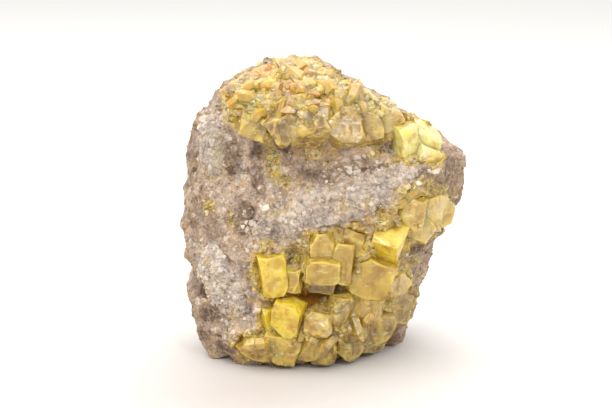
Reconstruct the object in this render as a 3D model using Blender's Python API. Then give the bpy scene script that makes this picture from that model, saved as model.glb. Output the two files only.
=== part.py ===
"""Native sulfur specimen: a broken lump of limestone carrying calcite crusts and sulfur crystals.

The lump stands on its flat, broken-off base. The origin is on that base, +Z is up and the
crystal-bearing face looks along -Y. Every size and place below is in millimetres, and the
finished objects are in metres.

The rock is a loft: each Level gives how far it reaches to the left, right, front and back at
one height. Cleavage planes then break flat facets off it, and swells raise or sink parts of
its front. Sulfur crystals are blocks with cut corners, and calcite crusts are veins that hug
the face of the rock. Each group of crystals that have grown together is one solid, which
sits in a socket in the rock with a small clearance all round.
"""

import math
from typing import NamedTuple

import bmesh
import bpy
import numpy as np
from mathutils import Euler, Matrix, Vector

MM = 0.001
CLEARANCE = 0.3
VEIN_CLEARANCE = 0.38
RINGS = 84
SEGMENTS = 120
ROCK_TRIANGLE_SHARE = 0.15
VEIN_RINGS = 16
VEIN_SIDES = 10
VEIN_TURN = 0.05
VEIN_BLUNTNESS = 0.35
VEIN_MAX_STRETCH = 1.6
PLAN_SQUARENESS = 2.6
FRONT_SHARE = 0.45
EDGE_SHARE = 0.97
BELOW_BASE = 2.0
BASE_SHARE = 0.88
TOP_SHARE = 0.93
SUMMIT_RISE = 0.5
MASS_SKEW = 0.35
LEAN_SPREAD = 3.0
LEAN_SEED = 21


class Level(NamedTuple):
    """How far the rock reaches at one height, and where its left and right edges lie in depth."""

    height: float
    left: float
    right: float
    front: float
    back: float
    left_depth: float
    right_depth: float


LEVELS = (
    Level(0.0, -25.4, 15.8, -13.4, 15.0, 0.0, 6.0),
    Level(4.0, -26.4, 17.2, -14.6, 17.0, 0.5, 6.0),
    Level(8.0, -26.6, 18.8, -15.4, 18.5, 1.0, 5.5),
    Level(10.6, -28.2, 19.2, -15.6, 18.8, 1.0, 5.5),
    Level(14.5, -27.2, 20.0, -15.8, 19.0, 1.5, 5.0),
    Level(21.0, -27.3, 21.0, -16.0, 19.5, 2.0, 4.5),
    Level(26.0, -27.9, 22.8, -16.0, 19.5, 2.0, 4.0),
    Level(31.0, -27.8, 28.0, -15.6, 19.5, 2.0, 3.0),
    Level(34.5, -26.8, 29.6, -15.0, 19.0, 2.0, 2.5),
    Level(38.0, -26.6, 28.2, -14.4, 18.5, 2.0, 2.5),
    Level(41.0, -26.8, 24.8, -13.8, 18.0, 2.0, 2.0),
    Level(44.5, -26.2, 20.6, -13.2, 17.0, 2.0, 2.0),
    Level(47.5, -25.0, 16.8, -12.4, 16.0, 2.0, 2.0),
    Level(50.5, -23.0, 12.4, -11.0, 14.5, 2.0, 2.0),
    Level(53.5, -20.6, 6.8, -8.8, 12.5, 2.0, 2.0),
    Level(56.0, -18.0, 1.4, -6.0, 10.0, 2.0, 2.0),
    Level(58.0, -11.8, -2.4, -2.2, 6.5, 2.0, 2.0),
)
HEIGHT = LEVELS[-1].height
HEART = np.array((-4.0, 1.0, 27.0))


class Plane(NamedTuple):
    """A cleavage plane: material beyond it, along its outward direction, has broken off."""

    through: tuple
    outward: tuple


CLEAVAGES = (
    Plane((7.0, -8.6, 3.0), (0.62, -0.74, -0.26)),
    Plane((20.5, -4.0, 14.0), (0.93, -0.33, -0.18)),
    Plane((-25.0, -7.0, 30.0), (-0.93, -0.36, 0.06)),
    Plane((-18.0, 12.0, 24.0), (-0.62, 0.78, 0.05)),
    Plane((2.0, 16.8, 34.0), (0.10, 0.97, 0.20)),
    Plane((17.5, 12.5, 26.0), (0.72, 0.68, -0.14)),
    Plane((7.0, 12.0, 46.0), (0.38, 0.62, 0.68)),
    Plane((-13.0, 11.0, 47.0), (-0.25, 0.70, 0.66)),
    Plane((-8.0, 15.0, 6.0), (-0.08, 0.90, -0.42)),
    Plane((-24.0, 8.0, 40.0), (-0.90, 0.40, 0.20)),
    Plane((13.0, 13.0, 7.0), (0.45, 0.75, -0.48)),
    Plane((-23.5, 7.0, 8.0), (-0.86, 0.30, -0.42)),
    Plane((24.0, 8.0, 34.0), (0.86, 0.48, 0.16)),
)


class Swell(NamedTuple):
    """A raised (or, below zero, sunken) patch of the front, with a rim as steep as its power."""

    x: float
    z: float
    half_width: float
    half_height: float
    tilt: float
    rise: float
    power: float


SWELLS = (
    Swell(-2.0, 50.5, 17.0, 4.6, -2.0, 1.7, 6.0),
    Swell(-1.0, 43.0, 15.0, 2.0, 3.0, -1.2, 3.0),
    Swell(1.0, 33.0, 17.0, 4.0, 18.0, 1.0, 4.0),
    Swell(-2.0, 38.5, 8.0, 1.1, 8.0, -0.9, 2.0),
    Swell(-19.0, 40.0, 1.6, 9.0, -4.0, -1.1, 2.0),
    Swell(-1.0, 15.6, 6.0, 3.2, 4.0, -3.6, 3.0),
    Swell(-21.0, 12.0, 3.0, 2.4, 20.0, -0.9, 3.0),
    Swell(-13.0, 29.0, 6.0, 4.5, 0.0, -0.7, 3.0),
    Swell(21.0, 37.0, 6.0, 5.0, 10.0, 2.6, 3.0),
)


class Wave(NamedTuple):
    """Unevenness of the broken rock: how far apart its waves are, and how high."""

    spacing: float
    height: float
    seed: int


BROAD_WAVE = Wave(9.0, 1.1, 3)
CRESTED_WAVES = (Wave(5.5, 2.2, 5), Wave(2.6, 0.9, 8))
MEAN_WAVE = 0.23
VEIN_WAVE = Wave(2.4, 0.22, 11)


class Block(NamedTuple):
    """One sulfur crystal. stand is how far its middle is in front of the rock's face there.

    corner is the share of the way to the box's corners where they are cut off, and skew is
    how far its faces lean out of square, as they do in a crowded mass.
    """

    x: float
    z: float
    stand: float
    half: tuple
    turn: tuple
    corner: float = 0.80
    skew: float = 0.0


class Vein(NamedTuple):
    """A calcite crust along a line of (x, z, half width) places on the rock's front."""

    line: tuple
    half_depth: float
    stand: float


SULFUR = {
    "sulfur_crystal_large": (
        Block(11.4, 25.3, 0.2, (3.1, 3.3, 3.7), (35, 19, -6), 0.86),
        Block(9.0, 18.9, 0.4, (3.7, 3.4, 3.8), (8, 24, -8), 0.84),
    ),
    "sulfur_crystal_left": (Block(-10.3, 19.6, 0.9, (2.4, 2.4, 3.8), (8, -9, 12), 0.80),),
    "sulfur_crystal_lower_left": (
        Block(-7.3, 11.2, 0.9, (2.5, 2.8, 3.1), (10, 12, -14), 0.86),
        Block(-10.6, 10.3, 0.2, (1.8, 1.8, 2.4), (4, -8, 20), 0.84),
    ),
    "sulfur_crystal_small_centre": (
        Block(-6.1, 18.3, 0.3, (1.5, 1.9, 2.2), (0, 4, -22), 0.84),
    ),
    "sulfur_columns_centre": (
        Block(-1.1, 25.0, 0.3, (2.2, 2.3, 2.9), (6, -3, 8), 0.88),
        Block(-0.9, 20.9, 0.7, (3.0, 2.4, 2.2), (12, 2, 4), 0.90),
        Block(-0.6, 17.4, 0.2, (2.7, 2.4, 2.0), (4, 6, -8), 0.90),
        Block(3.5, 21.9, -0.3, (1.7, 2.2, 3.7), (0, 6, -12), 0.88),
        Block(4.6, 26.0, -0.5, (2.0, 2.0, 2.2), (10, 20, 8), 0.84),
    ),
    "sulfur_mass_lower_left": (
        Block(-13.0, 4.8, -0.3, (3.2, 2.6, 2.8), (14, -16, 10), 0.82, MASS_SKEW),
        Block(-8.5, 4.9, 0.1, (3.2, 2.6, 3.0), (10, 18, -8), 0.82, MASS_SKEW),
    ),
    "sulfur_mass_front": (
        Block(2.6, 12.2, 0.0, (1.9, 2.4, 2.7), (8, 12, -16), 0.84, MASS_SKEW),
        Block(-1.3, 9.8, 0.8, (2.3, 2.2, 2.6), (8, 8, -12), 0.84, MASS_SKEW),
        Block(-3.6, 4.9, 0.2, (1.8, 2.0, 2.7), (12, 24, 18), 0.86, MASS_SKEW),
        Block(-0.4, 4.4, 0.1, (2.2, 2.2, 3.0), (6, 6, -20), 0.90, MASS_SKEW),
    ),
    "sulfur_mass_lower_right": (
        Block(12.6, 15.6, 0.0, (2.7, 2.5, 2.8), (8, -12, 30), 0.84, MASS_SKEW),
        Block(7.6, 12.8, 0.3, (3.5, 2.8, 3.3), (8, 10, -24), 0.88, MASS_SKEW),
        Block(13.4, 10.4, -0.3, (2.6, 2.4, 3.4), (6, 24, 34), 0.86, MASS_SKEW),
        Block(5.0, 8.0, 0.3, (2.6, 2.6, 3.4), (12, 4, 20), 0.86, MASS_SKEW),
        Block(9.7, 7.0, 0.0, (3.0, 2.6, 3.7), (4, 18, 34), 0.88, MASS_SKEW),
        Block(3.9, 3.9, 0.0, (2.5, 2.2, 2.5), (10, 8, 30), 0.84, MASS_SKEW),
        Block(8.0, 3.5, -0.4, (2.6, 2.2, 2.2), (14, -10, 36), 0.86, MASS_SKEW),
    ),
    "sulfur_mass_right_lobe": (
        Block(15.4, 32.0, -0.2, (3.2, 2.6, 3.2), (10, 24, 12), 0.86, MASS_SKEW),
        Block(19.6, 31.0, -0.4, (3.0, 2.6, 3.4), (6, 14, 30), 0.84, MASS_SKEW),
        Block(22.4, 28.6, -0.8, (2.0, 2.2, 2.6), (12, 30, 38), 0.84, MASS_SKEW),
        Block(17.2, 27.0, -0.2, (3.2, 2.5, 2.8), (0, 30, 16), 0.84, MASS_SKEW),
    ),
    "sulfur_crystals_top_right": (
        Block(18.2, 44.4, 0.9, (3.0, 3.4, 2.2), (18, 36, 12), 0.82),
        Block(14.9, 44.8, 1.2, (2.2, 2.8, 2.8), (10, -6, 30), 0.84),
        Block(19.0, 42.0, 0.6, (2.2, 2.4, 1.6), (10, 22, 24), 0.84),
    ),
    "sulfur_crust_top": (
        Block(-13.4, 48.6, -0.2, (3.6, 2.8, 2.6), (14, 14, 12), 0.84, MASS_SKEW),
        Block(-8.2, 48.0, 0.5, (3.2, 3.2, 2.7), (22, -18, -8), 0.82, MASS_SKEW),
        Block(-3.0, 48.4, 0.8, (3.8, 3.2, 3.2), (26, 12, 14), 0.86, MASS_SKEW),
        Block(3.0, 48.2, 0.6, (3.6, 3.2, 3.1), (10, -24, -6), 0.82, MASS_SKEW),
        Block(7.8, 47.6, 0.3, (2.8, 3.0, 3.2), (16, 16, -12), 0.84, MASS_SKEW),
        Block(10.9, 48.6, 0.3, (2.2, 3.0, 3.2), (8, -6, 10), 0.86, MASS_SKEW),
        Block(-11.0, 52.0, 0.1, (3.4, 3.6, 2.2), (20, -28, 20), 0.84, MASS_SKEW),
        Block(-4.9, 52.6, 0.2, (3.6, 3.8, 2.4), (24, 18, -14), 0.86, MASS_SKEW),
        Block(1.4, 52.0, 0.1, (3.4, 3.6, 2.3), (22, -10, 10), 0.84, MASS_SKEW),
        Block(6.4, 51.2, 0.0, (2.8, 3.2, 1.9), (16, 30, 16), 0.84, MASS_SKEW),
        Block(-16.2, 53.4, 0.2, (2.6, 3.8, 1.7), (12, -34, 10), 0.82, MASS_SKEW),
        Block(-11.4, 55.3, 0.5, (3.4, 4.2, 1.7), (20, -12, -14), 0.84, MASS_SKEW),
        Block(-5.8, 56.2, 0.6, (3.6, 4.4, 1.6), (24, 6, 8), 0.84, MASS_SKEW),
        Block(-0.8, 55.0, 0.3, (3.2, 4.0, 1.6), (20, 24, 16), 0.84, MASS_SKEW),
    ),
}

CALCITE = {
    "calcite_band": Vein(
        (
            (-13.8, 26.8, 3.8),
            (-8.4, 29.8, 4.6),
            (-2.8, 31.8, 4.9),
            (2.8, 33.5, 4.6),
            (8.6, 35.6, 4.2),
            (13.6, 38.4, 3.5),
            (18.6, 41.0, 2.8),
        ),
        2.3,
        -0.7,
    ),
    "calcite_crust_lower_left": Vein(
        ((-22.4, 24.0, 3.0), (-21.4, 18.0, 3.6), (-18.6, 13.0, 3.8), (-15.4, 10.4, 3.2)), 2.1, -0.8
    ),
    "calcite_crust_upper_left": Vein(
        ((-20.8, 49.4, 2.4), (-22.0, 45.5, 2.8), (-22.4, 41.0, 2.8), (-21.8, 37.0, 2.4)), 2.0, -0.8
    ),
}

SULFUR_YELLOW = (0.72, 0.55, 0.10, 1.0)
CALCITE_WHITE = (0.62, 0.55, 0.50, 1.0)
LIMESTONE_BROWN = (0.24, 0.19, 0.15, 1.0)


HASH_PRIMES = (374761393, 668265263, 1440662683)
HASH_MASK = 0x7FFFFFFF


def scrambled(cells, seed):
    """Return one repeatable number from 0 to 1 for each lattice cell."""
    mixed = (cells @ np.array(HASH_PRIMES) + seed * 97) & HASH_MASK
    for shift, prime in ((13, HASH_PRIMES[0]), (15, HASH_PRIMES[1])):
        mixed = ((mixed ^ (mixed >> shift)) * prime) & HASH_MASK
    return (mixed ^ (mixed >> 16)) / HASH_MASK


def lattice_noise(points, spacing, seed):
    """Smooth noise from -1 to 1: random values at lattice corners, blended across each cell."""
    scaled = points / spacing
    cells = np.floor(scaled).astype(np.int64)
    share = scaled - cells
    share = share * share * (3.0 - 2.0 * share)
    total = np.zeros(len(points))
    for corner in np.ndindex(2, 2, 2):
        weight = np.prod(np.where(corner, share, 1.0 - share), axis=1)
        total += weight * scrambled(cells + np.array(corner), seed)
    return 2.0 * total - 1.0


def crags(points):
    """How far broken rock stands out, or in, at each point: soft waves, and crested ones."""
    total = BROAD_WAVE.height * lattice_noise(points, BROAD_WAVE.spacing, BROAD_WAVE.seed)
    for wave in CRESTED_WAVES:
        total += wave.height * (MEAN_WAVE - np.abs(lattice_noise(points, wave.spacing, wave.seed)))
    return total


def at_height(field, height):
    """Read one measure of the levels at the given heights, straight between two levels."""
    heights = [level.height for level in LEVELS]
    return np.interp(height, heights, [getattr(level, field) for level in LEVELS])


def loft(across, side, height):
    """Place points on the plain loft.

    across runs from -1 at the left edge to 1 at the right, and side from -1 on the front to 1
    on the back, as a superellipse gives them; height is in millimetres.
    """
    left, right = at_height("left", height), at_height("right", height)
    edge = at_height("left_depth", height) + (across + 1) / 2 * (
        at_height("right_depth", height) - at_height("left_depth", height)
    )
    reach = np.where(side < 0, edge - at_height("front", height), at_height("back", height) - edge)
    return np.stack([left + (across + 1) / 2 * (right - left), edge + side * reach, height], axis=1)


def swell_rise(x, z):
    """Add up how far the swells lift the front at the given places."""
    total = np.zeros_like(x)
    for swell in SWELLS:
        tilt = math.radians(swell.tilt)
        along = ((x - swell.x) * math.cos(tilt) + (z - swell.z) * math.sin(tilt)) / swell.half_width
        up = ((z - swell.z) * math.cos(tilt) - (x - swell.x) * math.sin(tilt)) / swell.half_height
        total += swell.rise * np.exp(-((along**2 + up**2) ** (swell.power / 2)))
    return total


def outwards(points):
    """Unit directions away from the heart of the rock, flattened towards the level."""
    away = (points - HEART) * (1.0, 1.0, 0.5)
    return away / np.linalg.norm(away, axis=1)[:, None]


def front_face(x, z):
    """Return the depth of the rock's front, in Y, at one place seen from the front."""
    left, right = at_height("left", z), at_height("right", z)
    across = min(EDGE_SHARE, max(-EDGE_SHARE, 2 * (x - left) / (right - left) - 1))
    side = -((1 - abs(across) ** PLAN_SQUARENESS) ** (1 / PLAN_SQUARENESS))
    y = float(loft(np.array([across]), np.array([side]), np.array([float(z)]))[0, 1])
    for plane in CLEAVAGES:
        out = Vector(plane.outward).normalized()
        if out.y < 0:
            reach = out.dot(Vector(plane.through)) - out.x * x - out.z * z
            y = max(y, reach / out.y)
    y -= float(swell_rise(np.array([float(x)]), np.array([float(z)]))[0])
    point = np.array([[x, y, z]])
    return y + float(outwards(point)[0, 1] * crags(point)[0])


def shaped_rock(sphere):
    """Turn points of a unit sphere into points of the rock.

    The sphere's height picks the level and its heading picks the place round it. The loft
    starts a little below the base, which is cut flat afterwards, and the two caps of the
    sphere close its ends.
    """
    rise = np.arcsin(np.clip(sphere[:, 2], -1, 1)) / (math.pi / 2)
    heading = np.arctan2(sphere[:, 1], sphere[:, 0])
    power = 2 / PLAN_SQUARENESS
    across = np.sign(np.cos(heading)) * np.abs(np.cos(heading)) ** power
    side = np.sign(np.sin(heading)) * np.abs(np.sin(heading)) ** power
    share = np.clip((rise + BASE_SHARE) / (BASE_SHARE + TOP_SHARE), 0, 1)
    points = loft(across, side, share * (HEIGHT + BELOW_BASE) - BELOW_BASE)
    for plane in CLEAVAGES:
        out = np.array(plane.outward) / np.linalg.norm(plane.outward)
        beyond = np.maximum(0, (points - np.array(plane.through)) @ out)
        points -= beyond[:, None] * out
    frontness = np.clip(-side / FRONT_SHARE, 0, 1) ** 2
    points[:, 1] -= frontness * swell_rise(points[:, 0], points[:, 2])
    points += outwards(points) * crags(points)[:, None]

    summit = np.clip((rise - TOP_SHARE) / (1 - TOP_SHARE), 0, 1)
    base = np.clip((-BASE_SHARE - rise) / (1 - BASE_SHARE), 0, 1)
    for cap, height_there in ((summit, HEIGHT + SUMMIT_RISE), (base, -BELOW_BASE)):
        middle = points[cap > 0].mean(axis=0)
        middle[2] = height_there
        points += cap[:, None] * (middle - points)
    return points


def add_object(name, shape, collection, colour=None):
    """Put a bmesh, in millimetres, into the scene as a mesh object in metres."""
    mesh = bpy.data.meshes.new(name)
    bmesh.ops.scale(shape, vec=(MM, MM, MM), verts=shape.verts)
    bmesh.ops.recalc_face_normals(shape, faces=shape.faces)
    shape.to_mesh(mesh)
    shape.free()
    obj = bpy.data.objects.new(name, mesh)
    collection.objects.link(obj)
    if colour:
        mesh.materials.append(colour)
    return obj


def material(name, colour, roughness, transmission=0.0):
    """Make a plain material of one colour."""
    made = bpy.data.materials.new(name)
    made.use_nodes = True
    surface = made.node_tree.nodes["Principled BSDF"]
    surface.inputs["Base Color"].default_value = colour
    surface.inputs["Roughness"].default_value = roughness
    surface.inputs["Metallic"].default_value = 0.0
    surface.inputs["Transmission Weight"].default_value = transmission
    made.diffuse_color = colour
    return made


def rock_shape():
    """Build the whole rock, before any socket, from a sphere of rings and segments."""
    shape = bmesh.new()
    bmesh.ops.create_uvsphere(shape, u_segments=SEGMENTS, v_segments=RINGS, radius=1.0)
    points = shaped_rock(np.array([vert.co for vert in shape.verts]))
    for vert, point in zip(shape.verts, points):
        vert.co = point
    return shape


def slice_off(shape, out, distance):
    """Take off what is further than the distance along a direction, and close the cut."""
    everything = shape.verts[:] + shape.edges[:] + shape.faces[:]
    cut = bmesh.ops.bisect_plane(
        shape, geom=everything, plane_co=out * distance, plane_no=out, clear_outer=True
    )
    rim = [item for item in cut["geom_cut"] if isinstance(item, bmesh.types.BMEdge)]
    if rim:
        bmesh.ops.edgeloop_fill(shape, edges=rim)


def block_shape(block, grow):
    """Cut one crystal from a box: slice its sides and corners, then turn it into place.

    grow moves every face outwards by that much, which turns a crystal into its socket.
    """
    half = Vector(block.half)
    shape = bmesh.new()
    bmesh.ops.create_cube(shape, size=4.0, matrix=Matrix.Diagonal((*(half + Vector([grow] * 3)), 1.0)))
    sides = np.array([sign * np.eye(3)[axis] for axis in range(3) for sign in (-1, 1)])
    leans = block.skew * lattice_noise(LEAN_SPREAD * sides[:, [1, 2, 0]] + block.x, 1.0, LEAN_SEED)
    for side, lean in zip(sides, leans):
        out = Vector(side + lean * (side[[2, 0, 1]] + side[[1, 2, 0]])).normalized()
        slice_off(shape, out, half.dot(Vector(np.abs(side))) + grow)
    for signs in np.ndindex(2, 2, 2):
        tip = Vector([(2 * s - 1) * h for s, h in zip(signs, half)])
        out = Vector([c / h**2 for c, h in zip(tip, half)]).normalized()
        slice_off(shape, out, block.corner * out.dot(tip) + grow)
    turn = Euler([math.radians(angle) for angle in block.turn]).to_matrix().to_4x4()
    middle = Vector((block.x, front_face(block.x, block.z) - block.stand, block.z))
    bmesh.ops.transform(shape, matrix=Matrix.Translation(middle) @ turn, verts=shape.verts)
    return shape


def vein_shape(vein, grow):
    """Lay a crust along its line: a stretched ball whose rings follow the face of the rock.

    The ball's height becomes the distance along the line, and each ring becomes a flat
    ellipse across the line. grow moves the whole skin outwards, which makes the socket.
    """
    shape = bmesh.new()
    bmesh.ops.create_uvsphere(shape, u_segments=VEIN_SIDES, v_segments=VEIN_RINGS, radius=1.0)
    ball = np.array([vert.co for vert in shape.verts])
    along = np.arcsin(np.clip(ball[:, 2], -1, 1)) / math.pi + 0.5
    ring = np.hypot(ball[:, 0], ball[:, 1]) ** VEIN_BLUNTNESS
    heading = np.arctan2(ball[:, 1], ball[:, 0])

    line = np.array(vein.line)
    steps = np.hypot(*np.diff(line[:, :2], axis=0).T)
    reach = np.concatenate([[0.0], np.cumsum(steps)]) / steps.sum()
    x, z, half = (np.interp(along, reach, line[:, column]) for column in range(3))
    before, after = along - VEIN_TURN, along + VEIN_TURN
    run_x, run_z = (np.interp(after, reach, side) - np.interp(before, reach, side) for side in line.T[:2])
    run = np.hypot(run_x, run_z)

    skin = np.stack([along * steps.sum(), np.cos(heading) * half, np.sin(heading) * half], axis=1)
    bump = 1 + VEIN_WAVE.height * lattice_noise(skin, VEIN_WAVE.spacing, VEIN_WAVE.seed)
    across = np.cos(heading) * ring * half * bump
    raised = np.sin(heading) * ring * vein.half_depth * bump + vein.stand
    x, z = x - across * run_z / run, z + across * run_x / run
    for vert, place_x, place_z, stand in zip(shape.verts, x, z, raised):
        vert.co = (place_x, front_face(place_x, place_z) - stand, place_z)
    shape.normal_update()
    stretches = [min(vert.calc_shell_factor(), VEIN_MAX_STRETCH) for vert in shape.verts]
    offsets = [vert.normal * stretch * grow for vert, stretch in zip(shape.verts, stretches)]
    for vert, offset in zip(shape.verts, offsets):
        vert.co += offset
    return shape


def baked(obj):
    """Apply an object's modifiers to its mesh."""
    graph = bpy.context.evaluated_depsgraph_get()
    mesh = bpy.data.meshes.new_from_object(obj.evaluated_get(graph))
    obj.modifiers.clear()
    obj.data = mesh


def cut_base(obj):
    """Cut the rock off flat at the height of its base and close the cut with one face."""
    shape = bmesh.new()
    shape.from_mesh(obj.data)
    everything = shape.verts[:] + shape.edges[:] + shape.faces[:]
    cut = bmesh.ops.bisect_plane(
        shape, geom=everything, plane_co=(0, 0, 0), plane_no=(0, 0, 1), clear_inner=True
    )
    rim = [item for item in cut["geom_cut"] if isinstance(item, bmesh.types.BMEdge)]
    bmesh.ops.edgeloop_fill(shape, edges=rim)
    bmesh.ops.recalc_face_normals(shape, faces=shape.faces)
    shape.to_mesh(obj.data)
    shape.free()


def join_or_cut(obj, other, operation):
    """Join another object to this one, or cut it away."""
    step = obj.modifiers.new(operation.title(), "BOOLEAN")
    step.operation = operation
    step.object = other
    baked(obj)


def keep_largest_piece(obj):
    """Drop the crumbs that a cut has left loose, and keep the piece with the most corners."""
    shape = bmesh.new()
    shape.from_mesh(obj.data)
    unseen = set(shape.verts)
    pieces = []
    while unseen:
        piece, front = set(), [unseen.pop()]
        while front:
            vert = front.pop()
            piece.add(vert)
            near = {edge.other_vert(vert) for edge in vert.link_edges} & unseen
            unseen -= near
            front.extend(near)
        pieces.append(piece)
    largest = max(pieces, key=len)
    crumbs = [vert for piece in pieces if piece is not largest for vert in piece]
    bmesh.ops.delete(shape, geom=crumbs, context="VERTS")
    shape.to_mesh(obj.data)
    shape.free()


def grown_together(name, growths, shape_of, grow, collection, colour=None):
    """Build a group of crystals or crusts and join them into one solid."""
    first, *others = [
        add_object(name if index == 0 else f"{name}_{index}", shape_of(growth, grow), collection, colour)
        for index, growth in enumerate(growths)
    ]
    for other in others:
        join_or_cut(first, other, "UNION")
        bpy.data.objects.remove(other)
    return first


def seat(groups, shape_of, clearance, sockets, tools, specimen, colour):
    """Build each group and cut away what stands there already, then record its socket."""
    for name, growths in groups.items():
        solid = grown_together(name, growths, shape_of, 0.0, specimen, colour)
        for socket in sockets:
            join_or_cut(solid, socket, "DIFFERENCE")
        keep_largest_piece(solid)
        socket = grown_together(f"socket_for_{name}", growths, shape_of, clearance, tools)
        socket.hide_render = True
        socket.display_type = "WIRE"
        sockets.append(socket)


def build_specimen():
    """Model the crystals and crusts, then the rock with a socket for each."""
    for obj in list(bpy.data.objects):
        bpy.data.objects.remove(obj)
    specimen = bpy.data.collections.new("native_sulfur_specimen")
    tools = bpy.data.collections.new("sockets")
    for collection in (specimen, tools):
        bpy.context.scene.collection.children.link(collection)

    sulfur = material("sulfur", SULFUR_YELLOW, 0.25, 0.35)
    calcite = material("calcite", CALCITE_WHITE, 0.45)
    limestone = material("limestone", LIMESTONE_BROWN, 0.85)

    sockets = []
    seat(SULFUR, block_shape, CLEARANCE, sockets, tools, specimen, sulfur)
    crusts = {name: (vein,) for name, vein in CALCITE.items()}
    seat(crusts, vein_shape, VEIN_CLEARANCE, sockets, tools, specimen, calcite)

    rock = add_object("limestone_matrix", rock_shape(), specimen, limestone)
    thin = rock.modifiers.new("Fewer faces", "DECIMATE")
    thin.ratio = ROCK_TRIANGLE_SHARE
    baked(rock)
    cut_base(rock)
    for socket in sockets:
        join_or_cut(rock, socket, "DIFFERENCE")
    keep_largest_piece(rock)


build_specimen()
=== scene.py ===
"""Looks of the native sulfur specimen: limestone, sugary calcite and sulfur crystals.

The solids of the frame give the place and the size of everything. Each visible piece stands for
one of them and repeats its formulas on a fine grid, with the relief, the grains and the finish of
the real mineral. Lengths are in millimetres until a piece is put into the scene, +Z is up and the
crystals look along -Y.
"""

from __future__ import annotations

import logging
import math
from dataclasses import dataclass, field
from enum import Enum
from typing import NamedTuple

import bpy
import numpy as np
from mathutils import Euler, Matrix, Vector


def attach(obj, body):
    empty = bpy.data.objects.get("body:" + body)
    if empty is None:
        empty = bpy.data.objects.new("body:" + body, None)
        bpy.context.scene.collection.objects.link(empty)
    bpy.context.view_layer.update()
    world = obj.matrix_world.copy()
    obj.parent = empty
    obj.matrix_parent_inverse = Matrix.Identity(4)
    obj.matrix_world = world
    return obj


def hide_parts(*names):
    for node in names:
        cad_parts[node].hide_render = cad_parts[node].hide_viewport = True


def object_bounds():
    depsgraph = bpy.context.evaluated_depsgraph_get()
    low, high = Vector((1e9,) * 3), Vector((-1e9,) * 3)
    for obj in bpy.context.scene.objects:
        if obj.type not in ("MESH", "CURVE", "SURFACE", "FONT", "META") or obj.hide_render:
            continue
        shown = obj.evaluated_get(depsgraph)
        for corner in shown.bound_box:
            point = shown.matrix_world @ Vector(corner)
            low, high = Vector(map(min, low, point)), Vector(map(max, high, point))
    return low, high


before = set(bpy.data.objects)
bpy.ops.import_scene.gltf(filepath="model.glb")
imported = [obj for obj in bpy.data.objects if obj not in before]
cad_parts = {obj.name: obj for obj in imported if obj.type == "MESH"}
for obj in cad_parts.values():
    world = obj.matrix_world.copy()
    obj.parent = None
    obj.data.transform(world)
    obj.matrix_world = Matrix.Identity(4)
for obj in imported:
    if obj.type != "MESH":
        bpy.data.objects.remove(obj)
CAD_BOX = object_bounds()

MM = 0.001
BODY = "root"
LOG = logging.getLogger("sulfur_specimen")
Array = np.ndarray
Pair = tuple[float, float]
Triple = tuple[float, float, float]
Socket = bpy.types.NodeSocket
Material = bpy.types.Material


# ------------------------ noise


HASH_PRIMES = (374761393, 668265263, 1440662683)
HASH_MASK = 0x7FFFFFFF
HASH_SHIFTS = (13, 15, 16)
SEED_STEP = 97
FAR_AWAY = 9.0
GROOVE_FLOOR = 0.02
TINY = 1e-12


def scrambled(cells: Array, seed: int) -> Array:
    """Give one repeatable number from 0 to 1 for each lattice cell.

    Args:
        cells: whole-number cells, one row of three for each.
        seed: picks one of many such fields.

    Returns:
        One number for each cell.
    """
    mixed = (cells @ np.array(HASH_PRIMES) + seed * SEED_STEP) & HASH_MASK
    for shift, prime in zip(HASH_SHIFTS[:2], HASH_PRIMES):
        mixed = ((mixed ^ (mixed >> shift)) * prime) & HASH_MASK
    return (mixed ^ (mixed >> HASH_SHIFTS[2])) / HASH_MASK


def s_curve(share: Array) -> Array:
    """Ease a share from 0 to 1 in and out."""
    return share * share * (3.0 - 2.0 * share)


def smooth_step(value: Array, low: float, high: float) -> Array:
    """Rise from 0 at low to 1 at high along an S curve."""
    return s_curve(np.clip((value - low) / (high - low), 0.0, 1.0))


def unit(vectors: Array) -> Array:
    """Give each row of three a length of 1."""
    return vectors / np.maximum(np.linalg.norm(vectors, axis=1), TINY)[:, None]


def lattice_noise(points: Array, spacing: float, seed: int) -> Array:
    """Smooth noise: random values at lattice corners, blended across each cell.

    Args:
        points: places, in millimetres.
        spacing: size of a lattice cell, in millimetres.
        seed: picks the field.

    Returns:
        A number from -1 to 1 for each place.
    """
    scaled = points / spacing
    cells = np.floor(scaled).astype(np.int64)
    share = s_curve(scaled - cells)
    total = np.zeros(len(points))
    for corner in np.ndindex(2, 2, 2):
        weight = np.prod(np.where(corner, share, 1.0 - share), axis=1)
        total += weight * scrambled(cells + np.array(corner), seed)
    return 2.0 * total - 1.0


def cobbles(points: Array, spacing: float, seed: int) -> tuple[Array, Array]:
    """Measure how near each place is to seeds scattered one in each lattice cell.

    Args:
        points: places, in millimetres.
        spacing: size of a lattice cell, in millimetres.
        seed: picks the field.

    Returns:
        The distance to the nearest seed, and how much further the next one is, in spacings.
    """
    scaled = points / spacing
    cells = np.floor(scaled).astype(np.int64)
    nearest = np.full(len(points), FAR_AWAY)
    following = nearest.copy()
    for step in np.ndindex(3, 3, 3):
        cell = cells + (np.array(step) - 1)
        spot = cell + np.stack([scrambled(cell, seed + axis) for axis in range(3)], axis=1)
        reach = np.linalg.norm(spot - scaled, axis=1)
        following = np.minimum(following, np.maximum(nearest, reach))
        nearest = np.minimum(nearest, reach)
    return nearest, following - nearest


class Wave(NamedTuple):
    """Unevenness: how far apart its waves or lumps are, how high they are, and its noise field."""

    spacing: float
    height: float
    seed: int

    def noise(self, points: Array) -> Array:
        """Return its smooth noise, from -1 to 1, at each place."""
        return lattice_noise(points, self.spacing, self.seed)


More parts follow.
